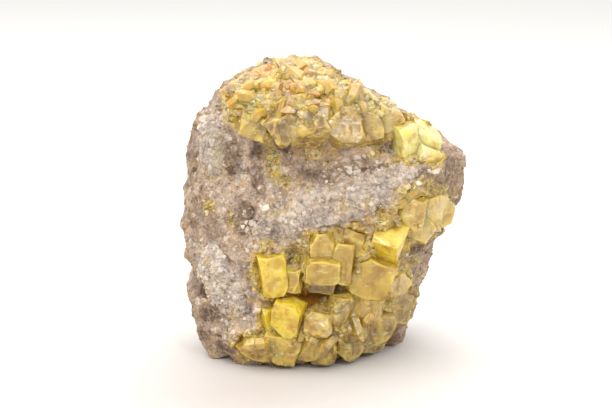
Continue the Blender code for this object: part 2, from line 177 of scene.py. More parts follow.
def packed_lumps(
    points: Array, waves: tuple[Wave, ...], middle: float, groove: float, relief: Array
) -> tuple[Array, Array]:
    """Raise rounded lumps about scattered seeds, with grooves between them.

    Args:
        points: places, in millimetres.
        waves: one for each size of lump.
        middle: distance from a seed where a lump neither rises nor sinks, in spacings.
        groove: width of the grooves, in spacings.
        relief: the height that the lumps are added to, in millimetres.

    Returns:
        The height with the lumps, and from 0 on a lump to 1 in a groove.
    """
    crevice = np.zeros(len(points))
    for wave in waves:
        nearest, gap = cobbles(points, wave.spacing, wave.seed)
        relief = relief + wave.height * (middle - nearest)
        crevice = np.maximum(crevice, 1 - smooth_step(gap, GROOVE_FLOOR, groove))
    return relief, crevice


# ------------------------ colour and nodes


WHITE = "#FFFFFF"
SRGB_KNEE, SRGB_SLOPE, SRGB_SHIFT, SRGB_POWER = 0.04045, 12.92, 0.055, 2.4


def linear(colour: str) -> tuple[float, float, float, float]:
    """Turn an sRGB hex colour into a linear one.

    Args:
        colour: such as "#A8917A".

    Returns:
        Red, green, blue and an alpha of 1, for a shader socket.
    """
    shares = [int(colour[place : place + 2], 16) / 255 for place in (1, 3, 5)]
    curve = [
        share / SRGB_SLOPE if share <= SRGB_KNEE else ((share + SRGB_SHIFT) / (1 + SRGB_SHIFT)) ** SRGB_POWER
        for share in shares
    ]
    return (*curve, 1.0)


def add_node(
    tree: bpy.types.NodeTree, kind: str, inputs: dict | None = None, **settings: object
) -> bpy.types.Node:
    """Add a node with its settings and links.

    Args:
        tree: the material's or world's node tree.
        kind: Blender's name of the node type.
        inputs: value or output socket for each input, by name or number.
        settings: properties of the node, set first.

    Returns:
        The new node.
    """
    node = tree.nodes.new(kind)
    for name, value in settings.items():
        setattr(node, name, value)
    for key, value in (inputs or {}).items():
        if isinstance(value, Socket):
            tree.links.new(value, node.inputs[key])
        else:
            node.inputs[key].default_value = value
    return node


MIX_FACTOR, MIX_A, MIX_B, MIX_RESULT = 0, 6, 7, 2
BUMP_LOW, BUMP_HIGH, BUMP_DETAIL = 0.2, 0.8, 2.0
NOISE_ROUGHNESS = 0.6
STRETCH_TURN = (0.3, 0.5, 0.2)
EVEN = (1.0, 1.0, 1.0)


class Blend(Enum):
    """How one colour is laid over another."""

    COVER = "MIX"
    TINT = "MULTIPLY"


class Pattern(NamedTuple):
    """Patches of noise: their size in millimetres, and the noise where they begin and are full.

    detail is how many finer layers the noise has, and lengthened how many times longer the
    patches are along each axis.
    """

    size: float
    low: float
    high: float
    detail: float = 3.0
    lengthened: Triple = EVEN


class Tone(NamedTuple):
    """A colour that lies over others in patches, and how much of it shows at most."""

    colour: str
    pattern: Pattern
    most: float = 1.0


@dataclass
class Recipe:
    """A material's node tree while it is being written."""

    name: str
    made: Material = field(init=False)
    tree: bpy.types.NodeTree = field(init=False)
    shader: bpy.types.Node = field(init=False)
    place: Socket = field(init=False)

    def __post_init__(self) -> None:
        """Start an empty material with a shader, an output and Object coordinates."""
        self.made = bpy.data.materials.new(self.name)
        self.made.use_nodes = True
        self.tree = self.made.node_tree
        self.shader = self.tree.nodes["Principled BSDF"]
        self.place = add_node(self.tree, "ShaderNodeTexCoord").outputs["Object"]

    def paint(self, name: str, output: str = "Fac") -> Socket:
        """Read one of the piece's own painted attributes."""
        return add_node(self.tree, "ShaderNodeAttribute", attribute_name=name).outputs[output]

    def ranged(self, value: Socket, low: float, high: float, first: float = 0, last: float = 1) -> Socket:
        """Turn the range from low to high into the range from first to last."""
        inputs = {"Value": value, "From Min": low, "From Max": high, "To Min": first, "To Max": last}
        return add_node(self.tree, "ShaderNodeMapRange", inputs).outputs["Result"]

    def noise(self, pattern: Pattern) -> Socket:
        """Return the socket of a pattern, which is 0 beside its patches and 1 where they are full."""
        place = self.place
        if pattern.lengthened != EVEN:
            shrunk = [1 / times for times in pattern.lengthened]
            inputs = {"Vector": place, "Rotation": STRETCH_TURN, "Scale": shrunk}
            place = add_node(self.tree, "ShaderNodeMapping", inputs).outputs["Vector"]
        inputs = {"Vector": place, "Scale": 1 / (pattern.size * MM)}
        inputs |= {"Detail": pattern.detail, "Roughness": NOISE_ROUGHNESS}
        noise = add_node(self.tree, "ShaderNodeTexNoise", inputs)
        return self.ranged(noise.outputs["Fac"], pattern.low, pattern.high)

    def mosaic(self, size: float, low: float, high: float) -> Socket:
        """Give each grain of a packed mosaic its own value, from 0 to 1.

        Args:
            size: size of the grains, in millimetres, whose borders wander by half of it.
            low: random value that becomes 0.
            high: random value that becomes 1.

        Returns:
            The socket that carries it.
        """
        noise = add_node(self.tree, "ShaderNodeTexNoise", {"Vector": self.place, "Scale": 2 / (size * MM)})
        shift = {0: noise.outputs["Color"], 1: (size * MM / 2,) * 3, 2: self.place}
        moved = add_node(self.tree, "ShaderNodeVectorMath", shift, operation="MULTIPLY_ADD")
        inputs = {"Vector": moved.outputs[0], "Scale": 1 / (size * MM)}
        cells = add_node(self.tree, "ShaderNodeTexVoronoi", inputs)
        return self.ranged(cells.outputs["Color"], low, high)

    def laid(
        self,
        under: Socket | str,
        over: Socket | str,
        share: Socket | float,
        blend: Blend = Blend.COVER,
    ) -> Socket:
        """Lay one colour over another by a share.

        Args:
            under: the colour below, as a socket or in hex.
            over: the colour on top, as a socket or in hex.
            share: how much of it shows.
            blend: how it is laid.

        Returns:
            The socket that carries the result.
        """
        below, above = (linear(colour) if isinstance(colour, str) else colour for colour in (under, over))
        inputs = {MIX_FACTOR: share, MIX_A: below, MIX_B: above}
        node = add_node(
            self.tree, "ShaderNodeMix", inputs, data_type="RGBA", blend_type=blend.value, clamp_factor=True
        )
        return node.outputs[MIX_RESULT]

    def toned(self, colour: Socket | str, *tones: Tone, share: float = 1.0) -> Socket:
        """Lay patches of tones over a colour, one after another.

        Args:
            colour: the colour below, as a socket or in hex.
            tones: what lies over it, from below to above.
            share: scales how much of each shows at most.

        Returns:
            The socket that carries the result.
        """
        for tone in tones:
            patches = self.noise(tone.pattern)
            most = tone.most * share
            if most < 1.0:
                patches = self.ranged(patches, 0.0, 1.0, 0.0, most)
            colour = self.laid(colour, tone.colour, patches)
        return colour

    def bumped(self, *layers: Pair) -> None:
        """Give the shader relief from layers of noise.

        Args:
            layers: grain size and height of each, in millimetres.
        """
        normal = None
        for size, height in layers:
            grain = self.noise(Pattern(size, BUMP_LOW, BUMP_HIGH, BUMP_DETAIL))
            inputs = {"Height": grain, "Distance": height * MM, "Strength": 1.0}
            if normal:
                inputs["Normal"] = normal
            normal = add_node(self.tree, "ShaderNodeBump", inputs).outputs["Normal"]
        self.tree.links.new(normal, self.shader.inputs["Normal"])

    def shade(self, colour: Socket, **sockets: object) -> Material:
        """Connect the colour and set the shader's own sockets.

        Args:
            colour: the finished base colour.
            sockets: shader inputs, with _ for a space.

        Returns:
            The material.
        """
        self.tree.links.new(colour, self.shader.inputs["Base Color"])
        for name, value in sockets.items():
            self.shader.inputs[name.replace("_", " ")].default_value = value
        return self.made


# ------------------------ finishes


@dataclass(frozen=True)
class SugaryCalcite:
    """Fine-grained calcite crust, crystallised from water: milky, a little see-through, glistening."""

    milk: str = "#CEBBA8"
    pink: Tone = Tone("#B49A7E", Pattern(1.9, 0.48, 0.60, 4.0))
    lilac: Tone = Tone("#AA9A8E", Pattern(3.2, 0.50, 0.60, 4.0))
    shadow: Tone = Tone("#7E6C5C", Pattern(1.1, 0.54, 0.70, 4.0))
    shaded_grains: Pair = (0.72, 1.1)
    grain_size: float = 0.8
    stain: str = "#CDB070"
    bright: str = "#E8DACA"
    # Colour of painted shade in the grooves, also laid evenly to darken a crust's tone.
    hollow: str = "#7C6C5C"

    def tones(self, recipe: Recipe) -> Socket:
        """Mix milky grains with pinkish, lilac and shadowed ones."""
        colour = recipe.toned(self.milk, self.pink, self.lilac)
        colour = recipe.laid(colour, self.shadow.colour, recipe.mosaic(self.grain_size, *self.shaded_grains))
        return recipe.toned(colour, self.shadow)

    def material(self) -> Material:
        """Mottle the milky body, paint shade into its grooves and let a little light into it."""
        recipe = Recipe("calcite_sugary_crust")
        colour = recipe.laid(self.tones(recipe), self.stain, recipe.paint("sulfur"))
        colour = recipe.laid(colour, self.bright, recipe.paint("bright"))
        # Painted shade in the grooves, with an even darkening of the crust's tone.
        colour = recipe.laid(colour, self.hollow, recipe.paint("hollow"), Blend.TINT)
        recipe.bumped((self.grain_size, 0.10), (self.grain_size / 3, 0.04))
        return recipe.shade(
            colour,
            Roughness=0.42,
            IOR=1.58,
            Specular_IOR_Level=0.4,
            Subsurface_Weight=0.35,
            Subsurface_Radius=(1.0, 0.8, 0.65),
            Subsurface_Scale=0.8 * MM,
        )


class Clearness(NamedTuple):
    """How a crystal lets light through: absorption is per metre, cloudiness how much flaws show."""

    transmission: float
    roughness: float
    absorption: float
    cloudiness: float


class Clarity(Enum):
    """How clear a kind of sulfur crystal is."""

    CLEAR = Clearness(0.35, 0.05, 110.0, 0.4)
    CLOUDY = Clearness(0.25, 0.10, 140.0, 0.7)
    MILKY = Clearness(0.0, 0.30, 140.0, 0.7)


@dataclass(frozen=True)
class NativeSulfur:
    """Native sulfur, grown from solution: resinous, honey to lemon, luminous inside."""

    clarity: Clarity = Clarity.CLOUDY
    absorbed: str = "#F9D84A"
    honey: Tone = Tone("#C2A244", Pattern(2.8, 0.48, 0.62))
    depth: float = 0.7
    flaw: Tone = Tone("#B8923E", Pattern(0.8, 0.52, 0.68, 4.0, (1, 1, 3)))
    mauve: Tone = Tone("#BEA678", Pattern(2.1, 0.55, 0.63, 4.0, (1, 1, 2)), 0.4)
    gold: Tone = Tone("#DEB640", Pattern(1.3, 0.53, 0.61, 4.0, (1, 1, 2)), 0.95)
    # Pale veils are painted highlights, where internal fractures reflect light.
    painted_highlights: Tone = Tone("#F2E6B4", Pattern(0.9, 0.58, 0.70, 4.0, (3, 1, 1)), 0.6)
    # Painted light: the brightness where light leaves a crystal's edges, also laid on the rock under the
    # crystals.
    painted_glow: str = "#FFE468"
    # Painted shade, laid where a crystal meets the rock and its neighbours.
    root: str = "#C09A4A"
    refraction: float = 1.96

    def tones(self, recipe: Recipe, body: Socket | str) -> Socket:
        """Cloud a body colour with honey depths, dark flaws, mauve and gold patches and painted highlights.
        """
        cloudiness = self.clarity.value.cloudiness
        colour = recipe.laid(body, recipe.toned(WHITE, self.honey), self.depth, Blend.TINT)
        colour = recipe.laid(colour, recipe.toned(WHITE, self.flaw), cloudiness, Blend.TINT)
        colour = recipe.toned(colour, self.mauve, self.gold, share=cloudiness)
        return recipe.toned(colour, self.painted_highlights)

    def material(self) -> Material:
        """Let light in, tint what comes back, paint light on the edges, where it would leave again, and
        paint shade at the root.
        """
        clearness = self.clarity.value
        recipe = Recipe(f"native_sulfur_{self.clarity.name.lower()}")
        colour = self.tones(recipe, recipe.paint("tint", "Color"))
        # Painted light along the edges.
        colour = recipe.laid(colour, self.painted_glow, recipe.paint("edge"))
        # Painted shade at the crystal's root.
        colour = recipe.laid(colour, self.root, recipe.paint("root"))
        recipe.bumped((0.9, 0.07), (0.3, 0.045))
        made = recipe.shade(
            colour,
            Roughness=clearness.roughness,
            IOR=self.refraction,
            Specular_IOR_Level=0.35,
            Transmission_Weight=clearness.transmission,
            Subsurface_Weight=0.6,
            Subsurface_Radius=(1.0, 0.7, 0.12),
            Subsurface_Scale=2.0 * MM,
        )
        inputs = {"Color": linear(self.absorbed), "Density": clearness.absorption}
        absorption = add_node(recipe.tree, "ShaderNodeVolumeAbsorption", inputs)
        output = recipe.tree.nodes["Material Output"]
        recipe.tree.links.new(absorption.outputs["Volume"], output.inputs["Volume"])
        return made


@dataclass(frozen=True)
class HammerBrokenLimestone:
    """Porous bituminous limestone, broken with a hammer: dull, gritty and mottled."""

    beige: str = "#C4AC92"
    brown: Tone = Tone("#977C62", Pattern(4.5, 0.45, 0.62))
    grey: Tone = Tone("#A3958A", Pattern(2.72, 0.48, 0.66))
    ochre: Tone = Tone("#C8A45C", Pattern(2.08, 0.60, 0.68, 4.0))
    dark: Tone = Tone("#5E4A3C", Pattern(1.12, 0.57, 0.70, 5.0))
    umber_in_dark: Tone = Tone("#8E745C", Pattern(0.7, 0.42, 0.6, 4.0))
    grey_in_dark: Tone = Tone("#A3958A", Pattern(1.0, 0.54, 0.62, 4.0))
    # Deep amber of the recess below the central columns, partly painted shade.
    amber: str = "#86580A"
    stained: str = "#CCB264"
    # Colour of painted shade in the grooves and pits.
    hollow: str = "#8A7664"
    between_grit: str = "#B8A896"
    grit: Tone = Tone(WHITE, Pattern(0.45, 0.3, 0.6))
    grit_depth: float = 0.7
    calcite: SugaryCalcite = SugaryCalcite()
    calcite_flecks: Pattern = Pattern(2.4, 0.51, 0.57, 4.0)
    sulfur: NativeSulfur = NativeSulfur()
    roughness: float = 0.78
    stained_roughness: float = 0.35

    def material(self) -> Material:
        """Mix the tones by mottling at several sizes, by the painted deposits and by painted shade and
        light.
        """
        recipe = Recipe("limestone_hammer_broken")
        milky = self.calcite.tones(recipe)
        colour = recipe.toned(self.beige, self.brown, self.grey)
        colour = recipe.laid(colour, milky, recipe.noise(self.calcite_flecks))
        colour = recipe.laid(colour, milky, recipe.paint("calcite"))
        colour = recipe.toned(colour, self.ochre, self.dark)
        stained = self.sulfur.tones(recipe, self.stained)
        dark = recipe.toned(self.dark.colour, self.umber_in_dark, self.grey_in_dark)
        # Some dark patches are painted shade, and under the crystals the rock gets painted light in the
        # sulfur's colour.
        for over, paint in (
            (stained, "sulfur"),
            (dark, "dark"),
            (self.amber, "amber"),
            (self.sulfur.painted_glow, "covered"),
        ):
            colour = recipe.laid(colour, over, recipe.paint(paint))
        # Sub-millimetre grit breaks every tone up.
        grit = recipe.toned(self.between_grit, self.grit)
        colour = recipe.laid(colour, grit, self.grit_depth, Blend.TINT)
        # Painted shade in the grooves between lumps and in the pits.
        colour = recipe.laid(colour, self.hollow, recipe.paint("hollow"), Blend.TINT)
        recipe.bumped((0.9, 0.12), (self.grit.pattern.size, 0.08))
        gloss = recipe.ranged(recipe.paint("sulfur"), 0.0, 1.0, self.roughness, self.stained_roughness)
        recipe.tree.links.new(gloss, recipe.shader.inputs["Roughness"])
        return recipe.shade(colour, IOR=1.5, Specular_IOR_Level=0.4)


# ------------------------ surfaces


def ends_merged(values: Array, columns: int) -> Array:
    """Keep one value for the first and one for the last ring, which have shrunk to points."""
    rings = values.reshape(-1, columns)
    return np.concatenate([rings[0, :1], rings[1:-1].reshape(-1), rings[-1, :1]])


def ball(rings: int, columns: int) -> Array:
    """Return the places of a grid on a ball of radius 1, as rings by columns by 3."""
    rise = np.linspace(-math.pi / 2, math.pi / 2, rings)[:, None]
    heading = np.linspace(0, 2 * math.pi, columns, endpoint=False)[None, :]
    level = np.cos(rise)
    return np.stack(
        np.broadcast_arrays(level * np.cos(heading), level * np.sin(heading), np.sin(rise)), axis=2
    )


@dataclass
class Surface:
    """A skin of triangles, in millimetres, with the attributes painted on its corners."""

    points: Array
    triangles: Array
    paints: dict[str, Array] = field(default_factory=dict)

    @staticmethod
    def from_rings(rings: Array, **paints: Array) -> Surface:
        """Close a grid into one skin.

        Each ring joins up with itself, and the first and the last ring have shrunk to a point.

        Args:
            rings: places, as rings by columns by 3.
            paints: painted attributes, each with one value for every place.

        Returns:
            The skin, with its faces pointing out.
        """
        count, columns = rings.shape[:2]
        points = np.concatenate([rings[:1, 0], rings[1:-1].reshape(-1, 3), rings[-1:, 0]])
        here = np.arange(columns)
        east = (here + 1) % columns
        below = 1 + columns * np.arange(count - 3)[:, None]
        above = below + columns
        first = np.stack([below + here, below + east, above + east], axis=2).reshape(-1, 3)
        second = np.stack([below + here, above + east, above + here], axis=2).reshape(-1, 3)
        top = 1 + columns * (count - 3)
        south = np.stack([np.zeros_like(here), 1 + east, 1 + here], axis=1)
        north = np.stack([np.full_like(here, len(points) - 1), top + here, top + east], axis=1)
        triangles = np.concatenate([south, first, second, north])
        a, b, c = (points[triangles[:, corner]] for corner in range(3))
        if np.einsum("ij,ij->", a, np.cross(b, c)) < 0:
            triangles = triangles[:, ::-1]
        merged = {name: ends_merged(values, columns) for name, values in paints.items()}
        return Surface(points, triangles, merged)

    @staticmethod
    def joined(parts: list[Surface]) -> Surface:
        """Put several skins into one, keeping their painted attributes."""
        starts = np.cumsum([0] + [len(part.points) for part in parts[:-1]])
        return Surface(
            np.concatenate([part.points for part in parts]),
            np.concatenate([part.triangles + start for part, start in zip(parts, starts)]),
            {name: np.concatenate([part.paints[name] for part in parts]) for name in parts[0].paints},
        )

    def normals(self) -> Array:
        """Return the unit outward direction at each corner, from the areas of the faces round it."""
        a, b, c = (self.points[self.triangles[:, corner]] for corner in range(3))
        areas = np.repeat(np.cross(b - a, c - a), 3, axis=0)
        corners = self.triangles.reshape(-1)
        sums = [np.bincount(corners, areas[:, axis], len(self.points)) for axis in range(3)]
        return unit(np.stack(sums, axis=1))

    def piece(self, name: str, material: Material, smooth: bool) -> bpy.types.Object:
        """Put the skin into the scene as a mesh object, in metres.

        Args:
            name: the object's name.
            material: its finish.
            smooth: shade across its edges.

        Returns:
            The object, at the origin, with its place in its mesh.
        """
        low, high = (np.array(corner) for corner in CAD_BOX)
        mesh = bpy.data.meshes.new(name)
        mesh.vertices.add(len(self.points))
        mesh.vertices.foreach_set("co", np.clip(self.points * MM, low, high).astype(np.float32).ravel())
        mesh.loops.add(self.triangles.size)
        mesh.loops.foreach_set("vertex_index", self.triangles.astype(np.int32).ravel())
        mesh.polygons.add(len(self.triangles))
        mesh.polygons.foreach_set("loop_start", np.arange(0, self.triangles.size, 3, dtype=np.int32))
        for paint, values in self.paints.items():
            kind, part = ("FLOAT_COLOR", "color") if values.ndim == 2 else ("FLOAT", "value")
            layer = mesh.attributes.new(paint, kind, "POINT")
            layer.data.foreach_set(part, values.astype(np.float32).ravel())
        mesh.update(calc_edges=True)
        mesh.polygons.foreach_set("use_smooth", np.full(len(self.triangles), smooth))
        mesh.materials.append(material)
        made = bpy.data.objects.new(name, mesh)
        bpy.context.scene.collection.objects.link(made)
        return made


# ------------------------ the rock's form


class Level(NamedTuple):
    """How far the rock reaches at one height, and where its left and right edges lie in depth."""

    height: float
    left: float
    right: float
    front: float
    back: float
    left_depth: float
    right_depth: float


class Plane(NamedTuple):
    """A cleavage plane: material beyond it, along its outward direction, has broken off."""

    through: Triple
    outward: Triple

    def direction(self) -> Array:
        """Return its outward direction, of length 1."""
        return np.array(self.outward) / np.linalg.norm(self.outward)


class Swell(NamedTuple):
    """A raised (or, below zero, sunken) patch of the front, with a rim as steep as its power."""

    x: float
    z: float
    half_width: float
    half_height: float
    tilt: float
    rise: float
    power: float


class Deposit(Enum):
    """What a patch of the rock's skin carries, by the name of its painted attribute; some dark and amber
    patches are painted shade.
    """

    CALCITE = "calcite"
    SULFUR = "sulfur"
    # Dark rock, and painted shade in the crevice and along the line under the ledge and in a cavity low on
    # the right.
    DARK = "dark"
    # Deep amber in the recess below the central columns, partly painted shade of that recess.
    AMBER = "amber"


class Patch(NamedTuple):
    """A ragged oval of one deposit on the front, seen from the front."""

    x: float
    z: float
    half_width: float
    half_height: float
    strength: float
    tilt: float = 0.0


def across_oval(oval: Swell | Patch, x: Array, z: Array) -> tuple[Array, Array]:
    """Measure places from an oval's middle along its two axes, where 1 is its rim."""
    tilt = math.radians(oval.tilt)
    dx, dz = x - oval.x, z - oval.z
    along = (dx * math.cos(tilt) + dz * math.sin(tilt)) / oval.half_width
    up = (dz * math.cos(tilt) - dx * math.sin(tilt)) / oval.half_height
    return along, up


def superellipse(heading: Array, squareness: float) -> tuple[Array, Array]:
    """Return X and Y, from -1 to 1, on a rounded square whose corners grow with its squareness."""
    sides = (np.cos(heading), np.sin(heading))
    across, side = (np.sign(part) * np.abs(part) ** (2 / squareness) for part in sides)
    return across, side


LEVELS = (
    Level(0.0, -25.4, 15.8, -13.4, 15.0, 0.0, 6.0),
    Level(4.0, -26.4, 17.2, -14.6, 17.0, 0.5, 6.0),
    Level(8.0, -26.6, 18.8, -15.4, 18.5, 1.0, 5.5),
    Level(10.6, -28.2, 19.2, -15.6, 18.8, 1.0, 5.5),
    Level(14.5, -27.2, 20.0, -15.8, 19.0, 1.5, 5.0),
    Level(21.0, -27.3, 21.0, -16.0, 19.5, 2.0, 4.5),
    Level(26.0, -27.9, 22.8, -16.0, 19.5, 2.0, 4.0),
    Level(31.0, -27.8, 28.0, -15.6, 19.5, 2.0, 3.0),
    Level(34.5, -26.8, 29.6, -15.0, 19.0, 2.0, 2.5),
    Level(38.0, -26.6, 28.2, -14.4, 18.5, 2.0, 2.5),
    Level(41.0, -26.8, 24.8, -13.8, 18.0, 2.0, 2.0),
    Level(44.5, -26.2, 20.6, -13.2, 17.0, 2.0, 2.0),
    Level(47.5, -25.0, 16.8, -12.4, 16.0, 2.0, 2.0),
    Level(50.5, -23.0, 12.4, -11.0, 14.5, 2.0, 2.0),
    Level(53.5, -20.6, 6.8, -8.8, 12.5, 2.0, 2.0),
    Level(56.0, -18.0, 1.4, -6.0, 10.0, 2.0, 2.0),
    Level(58.0, -11.8, -2.4, -2.2, 6.5, 2.0, 2.0),
)

CLEAVAGES = (
    Plane((7.0, -8.6, 3.0), (0.62, -0.74, -0.26)),
    Plane((20.5, -4.0, 14.0), (0.93, -0.33, -0.18)),
    Plane((-25.0, -7.0, 30.0), (-0.93, -0.36, 0.06)),
    Plane((-18.0, 12.0, 24.0), (-0.62, 0.78, 0.05)),
    Plane((2.0, 16.8, 34.0), (0.10, 0.97, 0.20)),
    Plane((17.5, 12.5, 26.0), (0.72, 0.68, -0.14)),
    Plane((7.0, 12.0, 46.0), (0.38, 0.62, 0.68)),
    Plane((-13.0, 11.0, 47.0), (-0.25, 0.70, 0.66)),
    Plane((-8.0, 15.0, 6.0), (-0.08, 0.90, -0.42)),
    Plane((-24.0, 8.0, 40.0), (-0.90, 0.40, 0.20)),
    Plane((13.0, 13.0, 7.0), (0.45, 0.75, -0.48)),
    Plane((-23.5, 7.0, 8.0), (-0.86, 0.30, -0.42)),
    Plane((24.0, 8.0, 34.0), (0.86, 0.48, 0.16)),
)

SWELLS = (
    Swell(-2.0, 50.5, 17.0, 4.6, -2.0, 1.7, 6.0),
    Swell(-1.0, 43.0, 15.0, 2.0, 3.0, -1.2, 3.0),
    Swell(1.0, 33.0, 17.0, 4.0, 18.0, 1.0, 4.0),
    Swell(-2.0, 38.5, 8.0, 1.1, 8.0, -0.9, 2.0),
    Swell(-19.0, 40.0, 1.6, 9.0, -4.0, -1.1, 2.0),
    Swell(-1.0, 15.6, 6.0, 3.2, 4.0, -3.6, 3.0),
    Swell(-21.0, 12.0, 3.0, 2.4, 20.0, -0.9, 3.0),
    Swell(-13.0, 29.0, 6.0, 4.5, 0.0, -0.7, 3.0),
    Swell(21.0, 37.0, 6.0, 5.0, 10.0, 2.6, 3.0),
)


@dataclass(frozen=True)
class RockForm:
    """The lump's shape, as formulas: a loft of levels, broken by planes and roughened by waves."""

    heart: Triple = (-4.0, 1.0, 27.0)
    levelled: Triple = (1.0, 1.0, 0.5)
    squareness: float = 2.6
    front_share: float = 0.45
    edge_share: float = 0.97
    summit_rise: float = 0.5
    broad: Wave = Wave(9.0, 1.1, 3)
    crested: tuple[Wave, ...] = (Wave(5.5, 2.2, 5), Wave(2.6, 0.9, 8))
    mean_wave: float = 0.23

    def at_height(self, measure: str, height: Array) -> Array:
        """Read one measure of the levels at the given heights, straight between two levels."""
        heights = [level.height for level in LEVELS]
        return np.interp(height, heights, [getattr(level, measure) for level in LEVELS])

    def loft(self, across: Array, side: Array, height: Array) -> Array:
        """Place points on the plain loft.

        X runs straight from the left to the right reach, and Y from the edge's depth to the
        front or the back reach, both at the point's height.

        Args:
            across: from -1 at the left edge to 1 at the right.
            side: from -1 on the front to 1 on the back.
            height: in millimetres.

        Returns:
            One place for each.
        """
        left, right = self.at_height("left", height), self.at_height("right", height)
        depths = [self.at_height(name, height) for name in ("left_depth", "right_depth")]
        edge = depths[0] + (across + 1) / 2 * (depths[1] - depths[0])
        forwards = edge - self.at_height("front", height)
        backwards = self.at_height("back", height) - edge
        reach = np.where(side < 0, forwards, backwards)
        return np.stack([left + (across + 1) / 2 * (right - left), edge + side * reach, height], axis=1)

    def swell_rise(self, x: Array, z: Array) -> Array:
        """Add up how far the swells lift the front: each is a bell over a tilted ellipse."""
        total = np.zeros_like(x)
        for swell in SWELLS:
            along, up = across_oval(swell, x, z)
            total += swell.rise * np.exp(-((along**2 + up**2) ** (swell.power / 2)))
        return total

    def outwards(self, points: Array) -> Array:
        """Unit directions away from the heart of the rock, flattened towards the level."""
        return unit((points - np.array(self.heart)) * self.levelled)

    def crags(self, points: Array) -> Array:
        """How far broken rock stands out, or in, at each point: soft waves, and crested ones."""
        total = self.broad.height * self.broad.noise(points)
        for wave in self.crested:
            total += wave.height * (self.mean_wave - np.abs(wave.noise(points)))
        return total

    def front_face(self, x: Array, z: Array) -> Array:
        """Return the depth of the front, in Y, at places seen from the front."""
        left, right = self.at_height("left", z), self.at_height("right", z)
        across = np.clip(2 * (x - left) / (right - left) - 1, -self.edge_share, self.edge_share)
        side = -((1 - np.abs(across) ** self.squareness) ** (1 / self.squareness))
        y = self.loft(across, side, z)[:, 1]
        for plane in CLEAVAGES:
            out = plane.direction()
            if out[1] < 0:
                y = np.maximum(y, (out @ np.array(plane.through) - out[0] * x - out[2] * z) / out[1])
        y = y - self.swell_rise(x, z)
        points = np.stack([x, y, z], axis=1)
        return y + self.outwards(points)[:, 1] * self.crags(points)

    def skin(self, heading: Array, height: Array) -> Array:
        """Place points on the broken surface.

        A superellipse turns the heading into shares across and to the side, the loft places
        them, the cleavage planes flatten what is beyond them, the swells lift the front, and
        the crags roughen it away from the heart.

        Args:
            heading: direction round the lump, in radians, 0 to the right and -pi/2 to the front.
            height: in millimetres.

        Returns:
            One place for each.
        """
        across, side = superellipse(heading, self.squareness)
        points = self.loft(across, side, height)
        for plane in CLEAVAGES:
            out = plane.direction()
            points -= np.maximum(0, (points - np.array(plane.through)) @ out)[:, None] * out
        frontness = np.clip(-side / self.front_share, 0, 1) ** 2
        points[:, 1] -= frontness * self.swell_rise(points[:, 0], points[:, 2])
        return points + self.outwards(points) * self.crags(points)[:, None]


FORM = RockForm()


# ------------------------ sulfur crystals


class Tint(Enum):
    """Body colour of a sulfur crystal."""

    LEMON = "#FADC3C"
    GOLD = "#CCAC50"
    HONEY = "#D2B03C"
    AMBER = "#E4A848"
    OLIVE = "#927634"
    PEACH = "#DAC080"
    BROWN = "#AA8C46"
    CREAM = "#F4E4B4"
    PALE = "#FFF49C"
    DEEP = "#B8921C"


LEAN_SPREAD = 3.0
LEAN_SEED = 21
NEXT_AXIS, LAST_AXIS = [1, 2, 0], [2, 0, 1]


@dataclass(frozen=True)
class Block:
    """One sulfur crystal: a box with cut corners, partly grown into the rock.

    stand is how far its middle is in front of the rock's face there, and corner the share of
    the way to the box's corners where they are cut off.
    """

    x: float
    z: float
    stand: float
    half: Triple
    turn: Triple
    corner: float
    tint: Tint

    def middle(self) -> Array:
        """Return where its middle is."""
        y = FORM.front_face(np.array([self.x]), np.array([self.z]))[0] - self.stand
        return np.array([self.x, y, self.z])

    def turned(self) -> Array:
        """Return the rotation from its own axes to the specimen's."""
        return np.array(Euler([math.radians(angle) for angle in self.turn]).to_matrix())

    def planes(self, skew: float) -> tuple[Array, Array]:
        """Return the planes that bound it.

        Args:
            skew: how far its sides lean out of square.

        Returns:
            The outward direction and the distance of its sides, then of its cut corners.
        """
        half = np.array(self.half)
        sides = np.array([sign * np.eye(3)[axis] for axis in range(3) for sign in (-1, 1)])
        leans = skew * lattice_noise(LEAN_SPREAD * sides[:, NEXT_AXIS] + self.x, 1.0, LEAN_SEED)
        leaning = sides + leans[:, None] * (sides[:, LAST_AXIS] + sides[:, NEXT_AXIS])
        tips = (2 * np.array(list(np.ndindex(2, 2, 2))) - 1) * half
        outward = unit(np.concatenate([leaning, tips / half**2]))
        reach = self.corner * np.sum(outward[len(sides) :] * tips, axis=1)
        return outward, np.concatenate([np.abs(sides) @ half, reach])

    def depth_share(self, points: Array, skew: float) -> Array:
        """Return 0 at the crystal's middle, 1 on its skin and more outside it."""
        outward, distance = self.planes(skew)
        local = (points - self.middle()) @ self.turned()
        return np.max(local @ (outward / distance[:, None]).T, axis=1)


@dataclass(frozen=True)
class Growth:
    """How finely a kind of crystal is drawn and how its faces have grown.

    Chips, terraces and scoops shape its faces, glow is the strength of the painted light on its edges,
    fillet the height of the druse beside it, and spread how much fuller it is than its solid.
    """

    rings: int
    columns: int
    chips: int
    chip_depth: float
    terrace: float
    scoops: tuple[Wave, ...]
    painted_glow: float
    fillet: float
    spread: float
    skew: float
    clarity: Clarity
    least_chip: float = 0.1
    terrace_steps: int = 3
    terrace_spacing: float = 2.3
    mean_scoop: float = 0.2
    edge: Pair = (0.84, 1.0)
    edge_noise: Wave = Wave(1.7, 1.0, 35)
    edge_gaps: Pair = (-0.5, 0.4)


WELL_GROWN = Growth(
    rings=90,
    columns=160,
    chips=7,
    chip_depth=0.20,
    terrace=0.10,
    scoops=(Wave(3.4, 0.34, 33), Wave(1.1, 0.12, 34)),
    painted_glow=0.7,
    fillet=2.1,
    spread=1.10,
    skew=0.0,
    clarity=Clarity.CLEAR,
)
CROWDED = Growth(
    rings=60,
    columns=110,
    chips=30,
    chip_depth=0.36,
    terrace=0.12,
    scoops=(Wave(2.8, 0.30, 31), Wave(1.0, 0.14, 32)),
    painted_glow=0.35,
    fillet=2.3,
    spread=1.22,
    skew=0.35,
    clarity=Clarity.CLOUDY,
)


